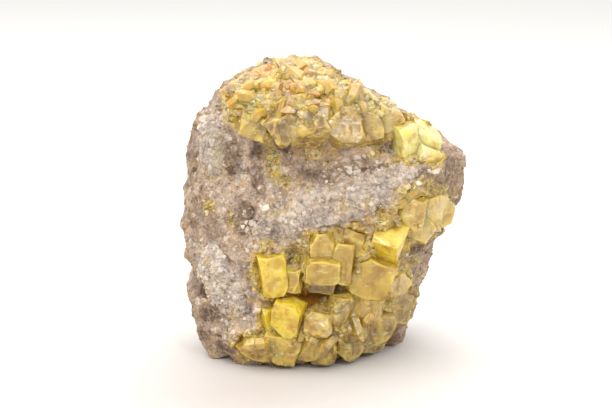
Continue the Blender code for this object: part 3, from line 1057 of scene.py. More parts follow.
@dataclass(frozen=True)
class Crystals:
    """A group of sulfur crystals grown together: one piece, for one solid of the frame."""

    node: str
    growth: Growth
    blocks: tuple[Block, ...]
    foot: Pair = (-0.5, 1.8)
    foot_shade: float = 0.8
    joint: Pair = (1.0, 1.25)
    joint_shade: float = 0.3
    inside: float = 0.9
    blending: int = -5
    seed_step: int = 7

    def skin(self, block: Block, seed: int) -> Surface:
        """Draw one crystal.

        The skin is a radius for each direction: one over the most that any plane's distance
        goes into that direction. Chips are more planes, set a little inside the crystal's
        reach. Terraces are noise rounded down to steps, and scoops the size of noise, which
        leaves smooth shells between sharp ridges, as sulfur breaks. An edge is where a second
        plane reaches as far in as the first, and painted light brightens it.

        Args:
            block: the crystal.
            seed: of its chips and terraces.

        Returns:
            Its skin, painted with its tint, painted light on its edges and painted shade at its root.
        """
        growth = self.growth
        outward, distance = block.planes(growth.skew)
        ways = unit(ball(growth.rings, growth.columns).reshape(-1, 3) * block.half)
        rough = ways / np.max(ways @ (outward / distance[:, None]).T, axis=1)[:, None]

        rng = np.random.default_rng(seed)
        chips = unit(rng.normal(size=(growth.chips, 3)))
        cut = growth.chip_depth * rng.uniform(growth.least_chip, 1, growth.chips)
        reach = np.max(rough @ chips.T, axis=0) * (1 - cut)
        outward, distance = np.concatenate([outward, chips]), np.concatenate([distance, reach])
        shares = np.sort(ways @ (outward / distance[:, None]).T, axis=1)
        ways = ways @ block.turned().T
        points = growth.spread * ways / shares[:, -1:] + block.middle()
        terraces = growth.terrace_steps * lattice_noise(points + seed, growth.terrace_spacing, seed)
        lift = growth.terrace * np.floor(terraces) / growth.terrace_steps
        for wave in growth.scoops:
            lift += wave.height * (growth.mean_scoop - np.abs(wave.noise(points)))
        points += lift[:, None] * ways

        # The edge share is where painted light brightens the edges, in patches.
        edge = smooth_step(shares[:, -2] / shares[:, -1], *growth.edge)
        edge *= growth.painted_glow * smooth_step(growth.edge_noise.noise(points), *growth.edge_gaps)
        skin = Surface.from_rings(points.reshape(growth.rings, growth.columns, 3), edge=edge)
        skin.paints["tint"], skin.paints["root"] = self.company(block, skin.points)
        return skin

    def company(self, block: Block, points: Array) -> tuple[Array, Array]:
        """Blend a crystal's colour into its neighbours', and paint shade where it meets them.

        Each crystal's tint counts by a power of how near the place is to it.

        Args:
            block: the crystal.
            points: places on its skin.

        Returns:
            The tint at each place, and the painted shade: from 0 on open faces to 1 at the crystal's foot.
        """
        stand = FORM.front_face(points[:, 0], points[:, 2]) - points[:, 1]
        # Painted shade at the foot, where the crystal meets the rock, and at the joints with its neighbours.
        root = self.foot_shade * (1 - smooth_step(stand, *self.foot))
        total, weights = np.zeros((len(points), 4)), np.zeros((len(points), 1))
        for other in self.blocks:
            share = other.depth_share(points, self.growth.skew)
            if other is not block:
                root = np.maximum(root, self.joint_shade * (1 - smooth_step(share, *self.joint)))
            weight = np.maximum(share, self.inside)[:, None] ** self.blending
            total += weight * linear(other.tint.value)
            weights += weight
        return total / weights, root

    def surface(self) -> Surface:
        """Draw all crystals of the group, each with its own seed."""
        first = sum(map(ord, self.node))
        skins = [self.skin(block, first + self.seed_step * place) for place, block in enumerate(self.blocks)]
        return Surface.joined(skins)


CRYSTALS = (
    Crystals("sulfur_crystal_large", WELL_GROWN, (
        Block(11.4, 25.3, 0.2, (3.1, 3.3, 3.7), (35, 19, -6), 0.86, Tint.LEMON),
        Block(9.0, 18.9, 0.4, (3.7, 3.4, 3.8), (8, 24, -8), 0.84, Tint.HONEY),
    )),
    Crystals("sulfur_crystal_left", WELL_GROWN, (
        Block(-10.3, 19.6, 0.9, (2.4, 2.4, 3.8), (8, -9, 12), 0.80, Tint.LEMON),
    )),
    Crystals("sulfur_crystal_lower_left", WELL_GROWN, (
        Block(-7.3, 11.2, 0.9, (2.5, 2.8, 3.1), (10, 12, -14), 0.86, Tint.LEMON),
        Block(-10.6, 10.3, 0.2, (1.8, 1.8, 2.4), (4, -8, 20), 0.84, Tint.LEMON),
    )),
    Crystals("sulfur_crystal_small_centre", WELL_GROWN, (
        Block(-6.1, 18.3, 0.3, (1.5, 1.9, 2.2), (0, 4, -22), 0.84, Tint.HONEY),
    )),
    Crystals("sulfur_columns_centre", WELL_GROWN, (
        Block(-1.1, 25.0, 0.3, (2.2, 2.3, 2.9), (6, -3, 8), 0.88, Tint.HONEY),
        Block(-0.9, 20.9, 0.7, (3.0, 2.4, 2.2), (12, 2, 4), 0.90, Tint.HONEY),
        Block(-0.6, 17.4, 0.2, (2.7, 2.4, 2.0), (4, 6, -8), 0.90, Tint.DEEP),
        Block(3.5, 21.9, -0.3, (1.7, 2.2, 3.7), (0, 6, -12), 0.88, Tint.DEEP),
        Block(4.6, 26.0, -0.5, (2.0, 2.0, 2.2), (10, 20, 8), 0.84, Tint.DEEP),
    )),
    Crystals("sulfur_mass_lower_left", CROWDED, (
        Block(-13.0, 4.8, -0.3, (3.2, 2.6, 2.8), (14, -16, 10), 0.82, Tint.GOLD),
        Block(-8.5, 4.9, 0.1, (3.2, 2.6, 3.0), (10, 18, -8), 0.82, Tint.GOLD),
    )),
    Crystals("sulfur_mass_front", CROWDED, (
        Block(2.6, 12.2, 0.0, (1.9, 2.4, 2.7), (8, 12, -16), 0.84, Tint.BROWN),
        Block(-1.3, 9.8, 0.8, (2.3, 2.2, 2.6), (8, 8, -12), 0.84, Tint.PEACH),
        Block(-3.6, 4.9, 0.2, (1.8, 2.0, 2.7), (12, 24, 18), 0.86, Tint.GOLD),
        Block(-0.4, 4.4, 0.1, (2.2, 2.2, 3.0), (6, 6, -20), 0.90, Tint.OLIVE),
    )),
    Crystals("sulfur_mass_lower_right", CROWDED, (
        Block(12.6, 15.6, 0.0, (2.7, 2.5, 2.8), (8, -12, 30), 0.84, Tint.PEACH),
        Block(7.6, 12.8, 0.3, (3.5, 2.8, 3.3), (8, 10, -24), 0.88, Tint.GOLD),
        Block(13.4, 10.4, -0.3, (2.6, 2.4, 3.4), (6, 24, 34), 0.86, Tint.OLIVE),
        Block(5.0, 8.0, 0.3, (2.6, 2.6, 3.4), (12, 4, 20), 0.86, Tint.BROWN),
        Block(9.7, 7.0, 0.0, (3.0, 2.6, 3.7), (4, 18, 34), 0.88, Tint.BROWN),
        Block(3.9, 3.9, 0.0, (2.5, 2.2, 2.5), (10, 8, 30), 0.84, Tint.OLIVE),
        Block(8.0, 3.5, -0.4, (2.6, 2.2, 2.2), (14, -10, 36), 0.86, Tint.OLIVE),
    )),
    Crystals("sulfur_mass_right_lobe", CROWDED, (
        Block(15.4, 32.0, -0.2, (3.2, 2.6, 3.2), (10, 24, 12), 0.86, Tint.GOLD),
        Block(19.6, 31.0, -0.4, (3.0, 2.6, 3.4), (6, 14, 30), 0.84, Tint.PEACH),
        Block(22.4, 28.6, -0.8, (2.0, 2.2, 2.6), (12, 30, 38), 0.84, Tint.GOLD),
        Block(17.2, 27.0, -0.2, (3.2, 2.5, 2.8), (0, 30, 16), 0.84, Tint.PEACH),
    )),
    Crystals("sulfur_crystals_top_right", WELL_GROWN, (
        Block(18.2, 44.4, 0.9, (3.0, 3.4, 2.2), (18, 36, 12), 0.82, Tint.PALE),
        Block(14.9, 44.8, 1.2, (2.2, 2.8, 2.8), (10, -6, 30), 0.84, Tint.PALE),
        Block(19.0, 42.0, 0.6, (2.2, 2.4, 1.6), (10, 22, 24), 0.84, Tint.CREAM),
    )),
    Crystals("sulfur_crust_top", CROWDED, (
        Block(-13.4, 48.6, -0.2, (3.6, 2.8, 2.6), (14, 14, 12), 0.84, Tint.BROWN),
        Block(-8.2, 48.0, 0.5, (3.2, 3.2, 2.7), (22, -18, -8), 0.82, Tint.OLIVE),
        Block(-3.0, 48.4, 0.8, (3.8, 3.2, 3.2), (26, 12, 14), 0.86, Tint.OLIVE),
        Block(3.0, 48.2, 0.6, (3.6, 3.2, 3.1), (10, -24, -6), 0.82, Tint.BROWN),
        Block(7.8, 47.6, 0.3, (2.8, 3.0, 3.2), (16, 16, -12), 0.84, Tint.OLIVE),
        Block(10.9, 48.6, 0.3, (2.2, 3.0, 3.2), (8, -6, 10), 0.86, Tint.PEACH),
        Block(-11.0, 52.0, 0.1, (3.4, 3.6, 2.2), (20, -28, 20), 0.84, Tint.BROWN),
        Block(-4.9, 52.6, 0.2, (3.6, 3.8, 2.4), (24, 18, -14), 0.86, Tint.AMBER),
        Block(1.4, 52.0, 0.1, (3.4, 3.6, 2.3), (22, -10, 10), 0.84, Tint.AMBER),
        Block(6.4, 51.2, 0.0, (2.8, 3.2, 1.9), (16, 30, 16), 0.84, Tint.CREAM),
        Block(-16.2, 53.4, 0.2, (2.6, 3.8, 1.7), (12, -34, 10), 0.82, Tint.AMBER),
        Block(-11.4, 55.3, 0.5, (3.4, 4.2, 1.7), (20, -12, -14), 0.84, Tint.AMBER),
        Block(-5.8, 56.2, 0.6, (3.6, 4.4, 1.6), (24, 6, 8), 0.84, Tint.AMBER),
        Block(-0.8, 55.0, 0.3, (3.2, 4.0, 1.6), (20, 24, 16), 0.84, Tint.CREAM),
    )),
)


# ------------------------ the rock


PATCHES = {
    Deposit.CALCITE: (
        Patch(-19.5, 16.5, 6.0, 9.0, 0.9, 24.0),
        Patch(-22.5, 42.5, 3.6, 9.0, 0.9),
        Patch(-11.0, 27.5, 6.5, 6.5, 0.85),
        Patch(1.0, 33.5, 19.0, 5.6, 1.0, 17.0),
        Patch(-9.0, 34.5, 4.0, 3.0, 0.9),
        Patch(-6.5, 27.0, 4.5, 2.6, 0.9, 30.0),
        Patch(5.5, 42.0, 4.2, 1.8, 0.6, 10.0),
        Patch(-17.6, 49.5, 2.2, 2.2, 0.8),
        Patch(-22.8, 44.0, 2.8, 3.8, 0.9),
        Patch(-22.4, 50.5, 2.6, 3.2, 0.6, 35.0),
        Patch(-18.0, 46.0, 2.2, 2.0, 0.6),
        Patch(-15.8, 42.0, 1.1, 3.4, 0.6, -4.0),
        Patch(-16.6, 37.0, 2.0, 1.8, 0.7),
        Patch(-22.0, 15.2, 2.8, 2.6, 1.0, 10.0),
        Patch(-14.6, 10.6, 3.0, 2.8, 1.0, 20.0),
        Patch(-21.5, 22.5, 4.0, 3.0, 0.6),
        Patch(-14.0, 22.5, 2.4, 3.0, 0.7),
        Patch(-17.6, 7.8, 4.8, 3.2, 1.0),
        Patch(-16.2, 4.0, 1.4, 2.0, 0.7),
        Patch(-4.6, 2.6, 1.8, 1.6, 0.7),
        Patch(14.3, 21.0, 1.3, 2.2, 0.8),
    ),
    Deposit.SULFUR: (
        Patch(2.5, 15.5, 14.0, 13.5, 0.9),
        Patch(-2.5, 51.5, 16.5, 6.6, 0.9, -6.0),
        Patch(17.0, 30.5, 7.5, 6.5, 0.9, 30.0),
        Patch(16.0, 45.0, 5.0, 4.0, 0.9, -20.0),
        Patch(-10.4, 41.0, 1.6, 4.6, 0.75, 6.0),
        Patch(-8.6, 37.6, 1.9, 1.4, 0.75, -20.0),
        Patch(-4.0, 43.0, 3.4, 1.6, 0.55),
        Patch(0.0, 41.6, 2.6, 1.6, 0.4),
        Patch(9.6, 43.4, 2.0, 2.0, 0.6),
        Patch(14.6, 41.0, 2.8, 1.4, 0.8),
        Patch(19.0, 35.5, 2.8, 2.6, 0.7),
        Patch(-7.0, 30.8, 2.0, 1.4, 0.5),
        Patch(-11.2, 25.0, 1.6, 1.4, 0.8),
        Patch(-13.6, 18.6, 1.6, 2.8, 0.6),
        Patch(-17.6, 14.6, 2.0, 2.2, 0.4),
        Patch(-23.0, 31.4, 1.2, 1.4, 0.7),
        Patch(-18.2, 29.4, 0.8, 1.8, 0.8, 10.0),
        Patch(-22.6, 37.4, 1.2, 1.2, 0.6),
        Patch(-17.4, 50.6, 0.7, 0.9, 0.9),
        Patch(-22.6, 21.2, 1.0, 0.7, 0.7),
        Patch(-3.4, 35.9, 0.7, 0.7, 1.0),
        Patch(10.4, 29.2, 2.6, 1.6, 0.9, 25.0),
        Patch(3.6, 25.0, 4.0, 4.0, 0.8),
        Patch(-5.8, 22.4, 1.8, 2.4, 0.9),
    ),
    Deposit.DARK: (
        Patch(-18.0, 41.0, 2.2, 4.2, 0.75, -6.0),
        Patch(-13.4, 39.0, 1.7, 5.0, 0.8, 6.0),
        # Painted shade in the crevice under the ledge.
        Patch(-8.0, 44.2, 2.0, 2.2, 1.0, 35.0),
        Patch(-13.0, 46.0, 2.6, 1.0, 0.6, -30.0),
        Patch(-7.4, 41.6, 1.2, 1.6, 0.7),
        Patch(-0.5, 39.0, 5.0, 2.2, 0.6, 5.0),
        Patch(5.0, 39.2, 1.8, 1.6, 0.7),
        Patch(8.0, 39.5, 2.6, 0.7, 0.8, 12.0),
        Patch(27.5, 33.5, 1.4, 4.0, 0.8, -14.0),
        Patch(11.6, 43.0, 1.8, 1.2, 0.9),
        Patch(4.4, 44.8, 1.0, 1.2, 0.7),
        # A painted shadow line under the ledge.
        Patch(0.0, 45.6, 9.0, 0.9, 0.8, -4.0),
        Patch(24.0, 37.5, 3.0, 4.0, 0.5, -10.0),
        Patch(13.8, 3.4, 4.0, 3.0, 0.95, 15.0),
        Patch(18.6, 38.6, 1.8, 1.4, 0.6),
        Patch(-16.0, 30.0, 2.0, 3.6, 0.8, -24.0),
        Patch(-12.6, 28.6, 2.2, 2.2, 0.6),
        Patch(-9.4, 30.2, 0.8, 1.2, 0.8),
        Patch(-21.8, 27.8, 1.4, 2.6, 0.5, 10.0),
        Patch(-25.0, 14.2, 1.8, 1.8, 0.8),
        Patch(-22.6, 9.8, 2.6, 2.0, 0.9),
        Patch(-19.0, 3.6, 3.0, 1.4, 0.8),
        Patch(-24.0, 5.6, 1.4, 1.6, 0.6),
        Patch(-7.6, 1.6, 2.4, 1.6, 0.9),
        Patch(18.0, 23.6, 1.5, 2.0, 0.7),
        Patch(17.0, 13.6, 1.2, 1.2, 0.6),
        Patch(14.0, 7.6, 3.4, 2.0, 0.95, 15.0),
    ),
    Deposit.AMBER: (
        # The recess below the central columns: amber colour and painted shade.
        Patch(-4.0, 14.9, 7.0, 2.4, 1.0, 2.0),
    ),
}


class Blotch(NamedTuple):
    """Scattered patches of one deposit: their spacing, noise field and the noise where they begin."""

    deposit: Deposit
    spacing: float
    seed: int
    low: float


@dataclass(frozen=True)
class MatrixRock:
    """The limestone lump, with its granular relief and the deposits painted on its skin.

    Pairs are the values between which a share rises or fades.
    """

    columns: int = 458
    rings: int = 216
    base_rings: int = 8
    summit_rings: int = 14
    front_columns: float = 0.70
    summit_height: float = 58.0
    plan: Pair = (27.0, 17.5)
    outline_steps: int = 4001
    sink: float = 1.5
    lumps: tuple[Wave, ...] = (Wave(1.9, 0.30, 41), Wave(0.85, 0.16, 47))
    lump_middle: float = 0.55
    groove: float = 0.22
    grit: Wave = Wave(0.5, 0.05, 53)
    ragged: tuple[Wave, ...] = (Wave(1.5, 0.34, 61), Wave(0.7, 0.22, 62))
    rim: Pair = (0.75, 1.15)
    front_depth: Pair = (1.0, 5.0)
    shoulder_height: float = 46.0
    blotches: tuple[Blotch, ...] = (
        Blotch(Deposit.CALCITE, 6.5, 71, 0.15),
        Blotch(Deposit.DARK, 5.0, 72, 0.25),
        Blotch(Deposit.SULFUR, 3.2, 73, 0.55),
    )
    blotch_rise: float = 0.35
    blotch_strength: float = 0.75
    less_on_front: float = 0.65
    pits: Wave = Wave(2.4, 0.6, 81)
    pit_noise: Pair = (0.15, 0.5)
    plain_pits: float = 0.25
    calcite_softness: float = 0.45
    groove_shade: float = 0.3
    pit_shade: float = 0.6
    under: float = 0.22
    beside: Pair = (1.0, 1.8)
    stained_beside: Pair = (1.02, 1.4)
    stain: float = 0.9
    less_shade_beside: float = 0.8
    druse: Wave = Wave(1.3, 0.4, 83)
    druse_mean: float = 0.8
    druse_from_base: Pair = (0.0, 6.0)
    druse_to_top: Pair = (51.0, 56.0)
    druse_to_right: Pair = (20.5, 24.0)

    def headings(self) -> Array:
        """Spread the columns evenly along the plan's outline, and more closely on the front."""
        heading = np.linspace(-math.pi, math.pi, self.outline_steps)
        across, side = superellipse(heading, FORM.squareness)
        x, y = self.plan[0] * across, self.plan[1] * side
        run = np.concatenate([[0], np.cumsum(np.hypot(np.diff(x), np.diff(y)))])
        run /= run[-1]
        share = np.linspace(0, 1, self.columns, endpoint=False)
        rest = (share - self.front_columns) / (1 - self.front_columns)
        front = share < self.front_columns
        even = np.where(front, share / self.front_columns / 2, 0.5 + rest / 2)
        return np.interp(even, run, heading)

    def rings_of(self) -> tuple[Array, Array, Array]:
        """Return each ring's height and how far it has shrunk to the summit's or the base's middle."""
        body = self.rings - self.base_rings - self.summit_rings
        climb = np.linspace(0, self.summit_height, body)
        height = np.pad(climb, (self.base_rings, self.summit_rings), mode="edge")
        ring = np.arange(self.rings)
        base = np.clip(1 - ring / self.base_rings, 0, 1)
        summit = np.clip((ring + 1 - self.rings) / self.summit_rings + 1, 0, 1)
        return height, base, summit

    def coarse(self) -> Array:
        """Place the grid on the broken surface and close its two ends.

        The points of each end ring move to the middle of that end by the ring's share.
        """
        height, base, summit = self.rings_of()
        heading = np.tile(self.headings(), self.rings)
        points = FORM.skin(heading, np.repeat(height, self.columns))
        rings = points.reshape(self.rings, self.columns, 3)
        for share, level in ((summit, self.summit_height + FORM.summit_rise), (base, 0.0)):
            middle = rings[share > 0].reshape(-1, 3).mean(axis=0)
            middle[2] = level
            rings += share[:, None, None] * (middle - rings)
        return rings.reshape(-1, 3)

    def patches(self, points: Array) -> dict[str, Array]:
        """Paint the deposits: ragged ovals on the front, and scattered blotches elsewhere.

        Args:
            points: places on the rock.

        Returns:
            A share from 0 to 1 at each place, for each deposit.
        """
        x, y, z = points.T
        ragged = sum(wave.height * wave.noise(points) for wave in self.ragged)
        front = smooth_step(np.maximum(z - self.shoulder_height, 0.0) / 2 - y, *self.front_depth)
        paints = {deposit.value: np.zeros(len(points)) for deposit in Deposit}
        for deposit, patches in PATCHES.items():
            for patch in patches:
                distance = np.hypot(*across_oval(patch, x, z)) + ragged
                share = patch.strength * (1 - smooth_step(distance, *self.rim)) * front
                paints[deposit.value] = np.maximum(paints[deposit.value], share)
        for deposit, spacing, seed, low in self.blotches:
            noise = lattice_noise(points, spacing, seed) + ragged
            blotches = smooth_step(noise, low, low + self.blotch_rise)
            share = self.blotch_strength * blotches * (1 - self.less_on_front * front)
            paints[deposit.value] = np.maximum(paints[deposit.value], share)
        return paints

    def crystals_near(self, points: Array) -> tuple[Array, Array, Array, Array]:
        """Measure how the sulfur crystals meet the rock.

        Args:
            points: places on the rock.

        Returns:
            Shares from 0 to 1 of being under a crystal, beside one and stained by one, and the
            height of the druse beside it, in millimetres.
        """
        under, beside, stained, fillet = np.zeros((4, len(points)))
        for group in CRYSTALS:
            for block in group.blocks:
                share = block.depth_share(points, group.growth.skew)
                banked = 1 - smooth_step(share, *self.beside)
                under = np.maximum(under, smooth_step(1.0 - share, 0.0, self.under))
                beside = np.maximum(beside, banked)
                stained = np.maximum(stained, self.stain * (1 - smooth_step(share, *self.stained_beside)))
                fillet = np.maximum(fillet, group.growth.fillet * banked)
        x, _, z = points.T
        fillet *= smooth_step(z, *self.druse_from_base) * (1 - smooth_step(z, *self.druse_to_top))
        fillet *= 1 - smooth_step(x, *self.druse_to_right)
        return under, beside, stained, fillet

    def surface(self) -> Surface:
        """Draw the rock.

        Relief is added away from the heart: cobbles, which are rounded lumps about scattered
        seeds, at two sizes, grit and pits. Druse fills the angle beside each crystal, and the
        rock sinks below it, so that it has depth.

        Returns:
            Its skin, painted with the deposits, painted shade in its grooves and pits,
            painted light where crystals lie over it, and where they stand beside it.
        """
        points = self.coarse()
        paints = self.patches(points)
        under, beside, stained, fillet = self.crystals_near(points)
        softer = 1 - self.calcite_softness * paints["calcite"]
        grit = self.grit.height * self.grit.noise(points)
        relief, crevice = packed_lumps(points, self.lumps, self.lump_middle, self.groove, grit)
        deeper = self.plain_pits + (1 - self.plain_pits) * paints["dark"]
        pits = smooth_step(self.pits.noise(points), *self.pit_noise) * deeper
        relief = relief * softer - self.pits.height * pits * (1 - beside)
        # Painted shade in the grooves between lumps and in the pits, less beside the crystals and none under
        # them.
        hollow = np.clip(self.groove_shade * crevice * softer + self.pit_shade * pits, 0, 1)
        paints["sulfur"] = np.maximum(paints["sulfur"], stained)
        paints["dark"] = paints["dark"] * (1 - under)
        paints["hollow"] = hollow * (1 - under) * (1 - self.less_shade_beside * beside)
        relief += fillet * (self.druse_mean + self.druse.height * self.druse.noise(points))
        away = relief * (1 - under) - self.sink * under
        points = points + FORM.outwards(points) * away[:, None]
        points[:, 2] = np.maximum(points[:, 2], 0.0)
        rings = points.reshape(self.rings, self.columns, 3)
        # Under the crystals the rock carries painted light, standing in for light that comes through them.
        return Surface.from_rings(rings, **paints, covered=under, beside=beside)


# ------------------------ calcite crusts


@dataclass(frozen=True)
class Vein:
    """A calcite crust along a line of (x, z, half width) places on the rock's front.

    stand is how far its rim is in front of the rock's face, and shade how dark it is all over.
    """

    node: str
    line: tuple[Triple, ...]
    half_depth: float
    stand: float
    shade: float
    rings: int = 260
    columns: int = 110
    front_share: float = 0.75
    bluntness: float = 0.35
    turn: float = 0.05
    shoulder: float = 1.4
    bump: Wave = Wave(2.4, 0.22, 11)
    sugar: tuple[Wave, ...] = (Wave(2.4, 0.42, 91), Wave(0.9, 0.12, 92))
    sugar_middle: float = 0.5
    groove: float = 0.2
    groove_shade: float = 0.2
    stain: Wave = Wave(2.6, 0.5, 95)
    stain_noise: Pair = (0.35, 0.7)

    def surface(self) -> Surface:
        """Draw the crust.

        A ball's height becomes the distance along the line, and each ring becomes a flat
        ellipse with sloping shoulders across it, laid on the rock's face. Sugary lumps about
        scattered seeds stand out of its front.

        Returns:
            Its skin, painted with an even darkening of its tone, painted shade in its grooves and its sulfur
            stains.
        """
        along = np.linspace(0, 1, self.rings)[:, None]
        share = np.linspace(0, 1, self.columns, endpoint=False)[None, :]
        rest = (share - self.front_share) / (1 - self.front_share)
        heading = math.pi * np.where(share < self.front_share, share / self.front_share, 1 + rest)
        along, heading = (part.reshape(-1) for part in np.broadcast_arrays(along, heading))
        ring = np.maximum(np.sin(math.pi * along), 0) ** self.bluntness

        line = np.array(self.line)
        steps = np.hypot(*np.diff(line[:, :2], axis=0).T)
        reach = np.concatenate([[0.0], np.cumsum(steps)]) / steps.sum()
        x, z, half = (np.interp(along, reach, line[:, column]) for column in range(3))
        before, after = along - self.turn, along + self.turn
        run_x, run_z = (
            np.interp(after, reach, side) - np.interp(before, reach, side) for side in line.T[:2]
        )
        run = np.hypot(run_x, run_z)
        skin = np.stack([along * steps.sum(), np.cos(heading) * half, np.sin(heading) * half], axis=1)
        bump = 1 + self.bump.height * self.bump.noise(skin)
        across = np.cos(heading) * ring * half * bump
        shoulder = np.sign(np.sin(heading)) * np.abs(np.sin(heading)) ** self.shoulder
        raised = shoulder * ring * self.half_depth * bump + self.stand
        x, z = x - across * run_z / run, z + across * run_x / run
        points = np.stack([x, FORM.front_face(x, z) - raised, z], axis=1)

        flat = np.zeros(len(points))
        lift, crevice = packed_lumps(points, self.sugar, self.sugar_middle, self.groove, flat)
        points[:, 1] -= lift * np.clip(np.sin(heading), 0, 1) * ring
        stain = self.stain.height * smooth_step(self.stain.noise(points), *self.stain_noise)
        rings = points.reshape(self.rings, self.columns, 3)
        # An even darkening of the crust's tone, and painted shade in its grooves.
        return Surface.from_rings(rings, hollow=self.shade + self.groove_shade * crevice, sulfur=stain)


VEINS = (
    Vein(
        "calcite_band",
        (
            (-13.8, 26.8, 3.8),
            (-8.4, 29.8, 4.6),
            (-2.8, 31.8, 4.9),
            (2.8, 33.5, 4.6),
            (8.6, 35.6, 4.2),
            (13.6, 38.4, 3.5),
            (18.6, 41.0, 2.8),
        ),
        half_depth=2.3,
        stand=-0.7,
        shade=0.17,
    ),
    Vein(
        "calcite_crust_lower_left",
        ((-22.4, 24.0, 3.0), (-21.4, 18.0, 3.6), (-18.6, 13.0, 3.8), (-15.4, 10.4, 3.2)),
        half_depth=2.1,
        stand=-0.8,
        shade=0.1,
    ),
    Vein(
        "calcite_crust_upper_left",
        ((-20.8, 49.4, 2.4), (-22.0, 45.5, 2.8), (-22.4, 41.0, 2.8), (-21.8, 37.0, 2.4)),
        half_depth=2.0,
        stand=-0.8,
        shade=0.25,
    ),
)


# ------------------------ small grains


class Habit(NamedTuple):
    """Form of a small grain: half lengths in shares of its size, corner power and columns."""

    half: Triple
    power: float
    columns: int


RHOMB = Habit((1.0, 0.85, 0.75), 6.0, 6)
CHUNK = Habit((1.0, 0.9, 0.7), 3.0, 6)
SHARD = Habit((1.2, 0.8, 0.6), 2.0, 5)
FLAKE = Habit((1.7, 1.0, 0.7), 2.4, 6)


def rotations(spin: Array) -> Array:
    """Return the rotation matrix of each row (w, x, y, z), taken as a quaternion."""
    w, x, y, z = (spin / np.linalg.norm(spin, axis=1)[:, None]).T
    rows = (
        (1 - 2 * (y * y + z * z), 2 * (x * y - w * z), 2 * (x * z + w * y)),
        (2 * (x * y + w * z), 1 - 2 * (x * x + z * z), 2 * (y * z - w * x)),
        (2 * (x * z - w * y), 2 * (y * z + w * x), 1 - 2 * (x * x + y * y)),
    )
    return np.stack([np.stack(row, axis=1) for row in rows], axis=1)


@dataclass(frozen=True)
class Grains:
    """Many small crystals or lumps, seated on a skin and joined in one piece.

    buried is the share of its size that a grain is sunk in, and aligned how nearly alike all
    grains lie: 0 is every way round.
    """

    name: str
    slot: str
    habit: Habit
    count: int
    smallest: float
    largest: float
    buried: float
    seed: int
    aligned: float = 0.0
    rings: int = 5
    tip: float = 0.8
    scarcity: float = 2.5
    unevenness: float = 0.18
    brightest: float = 0.6
    tint_shades: Pair = (0.5, 0.95)
    ground_shades: Pair = (0.8, 1.1)

    def template(self) -> Surface:
        """Draw one grain: a coarse ball whose radius is one over the p-norm of its direction.

        A power of 2 leaves the ball, and a higher one a rounded box. Its tips are cut off.
        """
        power = self.habit.power
        places = ball(self.rings, self.habit.columns)
        rings = places / np.sum(np.abs(places) ** power, axis=2, keepdims=True) ** (1 / power)
        rings[..., 2] = np.clip(rings[..., 2], -self.tip, self.tip)
        return Surface.from_rings(rings * self.habit.half)

    def surface(self, ground: Surface, chance: Array, tints: tuple[Tint, ...] = ()) -> Surface:
        """Seat the grains on a skin.

        Args:
            ground: the skin that carries them.
            chance: how likely each of its corners is to carry one.
            tints: body colours to pick from, painted on each grain.

        Returns:
            All grains as one skin, with the ground's paints where they stand and a random
            brightness.
        """
        rng = np.random.default_rng(self.seed)
        one = self.template()
        corners = len(one.points)
        sites = rng.choice(len(ground.points), self.count, p=chance / chance.sum())
        size = self.smallest + (self.largest - self.smallest) * rng.random(self.count) ** self.scarcity
        turns = rotations(rng.normal(size=(self.count, 4)) + (self.aligned, 0.0, 0.0, 0.0))
        middles = ground.points[sites] + ground.normals()[sites] * (size * (1 - 2 * self.buried))[:, None]
        stretch = 1 + self.unevenness * rng.normal(size=(self.count, 1, 3))
        shapes = np.einsum("nij,nvj->nvi", turns, one.points[None] * size[:, None, None] * stretch)
        points = (shapes + middles[:, None, :]).reshape(-1, 3)
        points[:, 2] = np.maximum(points[:, 2], 0.0)
        starts = np.arange(self.count)[:, None, None] * corners
        made = Surface(points, (one.triangles[None] + starts).reshape(-1, 3))
        for name, values in ground.paints.items():
            if values.ndim == 1:
                made.paints[name] = np.repeat(values[sites], corners)
        made.paints["bright"] = np.repeat(self.brightest * rng.random(self.count) ** 2, corners)
        if tints:
            choices = np.array([linear(tint.value) for tint in tints])
            colours = choices[rng.integers(len(tints), size=self.count)]
            colours *= rng.uniform(*self.tint_shades, (self.count, 1))
            made.paints["tint"] = np.repeat(colours, corners, axis=0)
            made.paints |= {name: np.zeros(len(points)) for name in ("root", "edge")}
        elif "tint" in ground.paints:
            colours = ground.paints["tint"][sites] * rng.uniform(*self.ground_shades, (self.count, 1))
            made.paints["tint"] = np.repeat(colours, corners, axis=0)
        return made


CRUMBS = Grains(
    "limestone_crumbs", "limestone", CHUNK, count=4500, smallest=0.15, largest=0.55, buried=0.68, seed=101
)
SUGAR = Grains(
    "calcite_sugar_grains", "calcite", RHOMB, count=5400, smallest=0.15, largest=0.9, buried=0.74, seed=102
)
SMALL_CRYSTALS = Grains(
    "sulfur_small_crystals", "sulfur", SHARD, count=3200, smallest=0.25, largest=1.0, buried=0.78, seed=103
)
FRAGMENTS = Grains(
    "sulfur_fragments",
    "sulfur",
    FLAKE,
    count=900,
    smallest=0.7,
    largest=2.3,
    buried=0.84,
    seed=105,
    aligned=2.5,
)
MASS_CRYSTALS = Grains(
    "sulfur_mass_crystals", "sulfur", SHARD, count=1800, smallest=0.2, largest=0.8, buried=0.72, seed=104
)


# ------------------------ studio


class Lamp(NamedTuple):
    """A soft square light: where it hangs and its side, in millimetres, and its power in watts."""

    name: str
    place: Triple
    size: float
    power: float


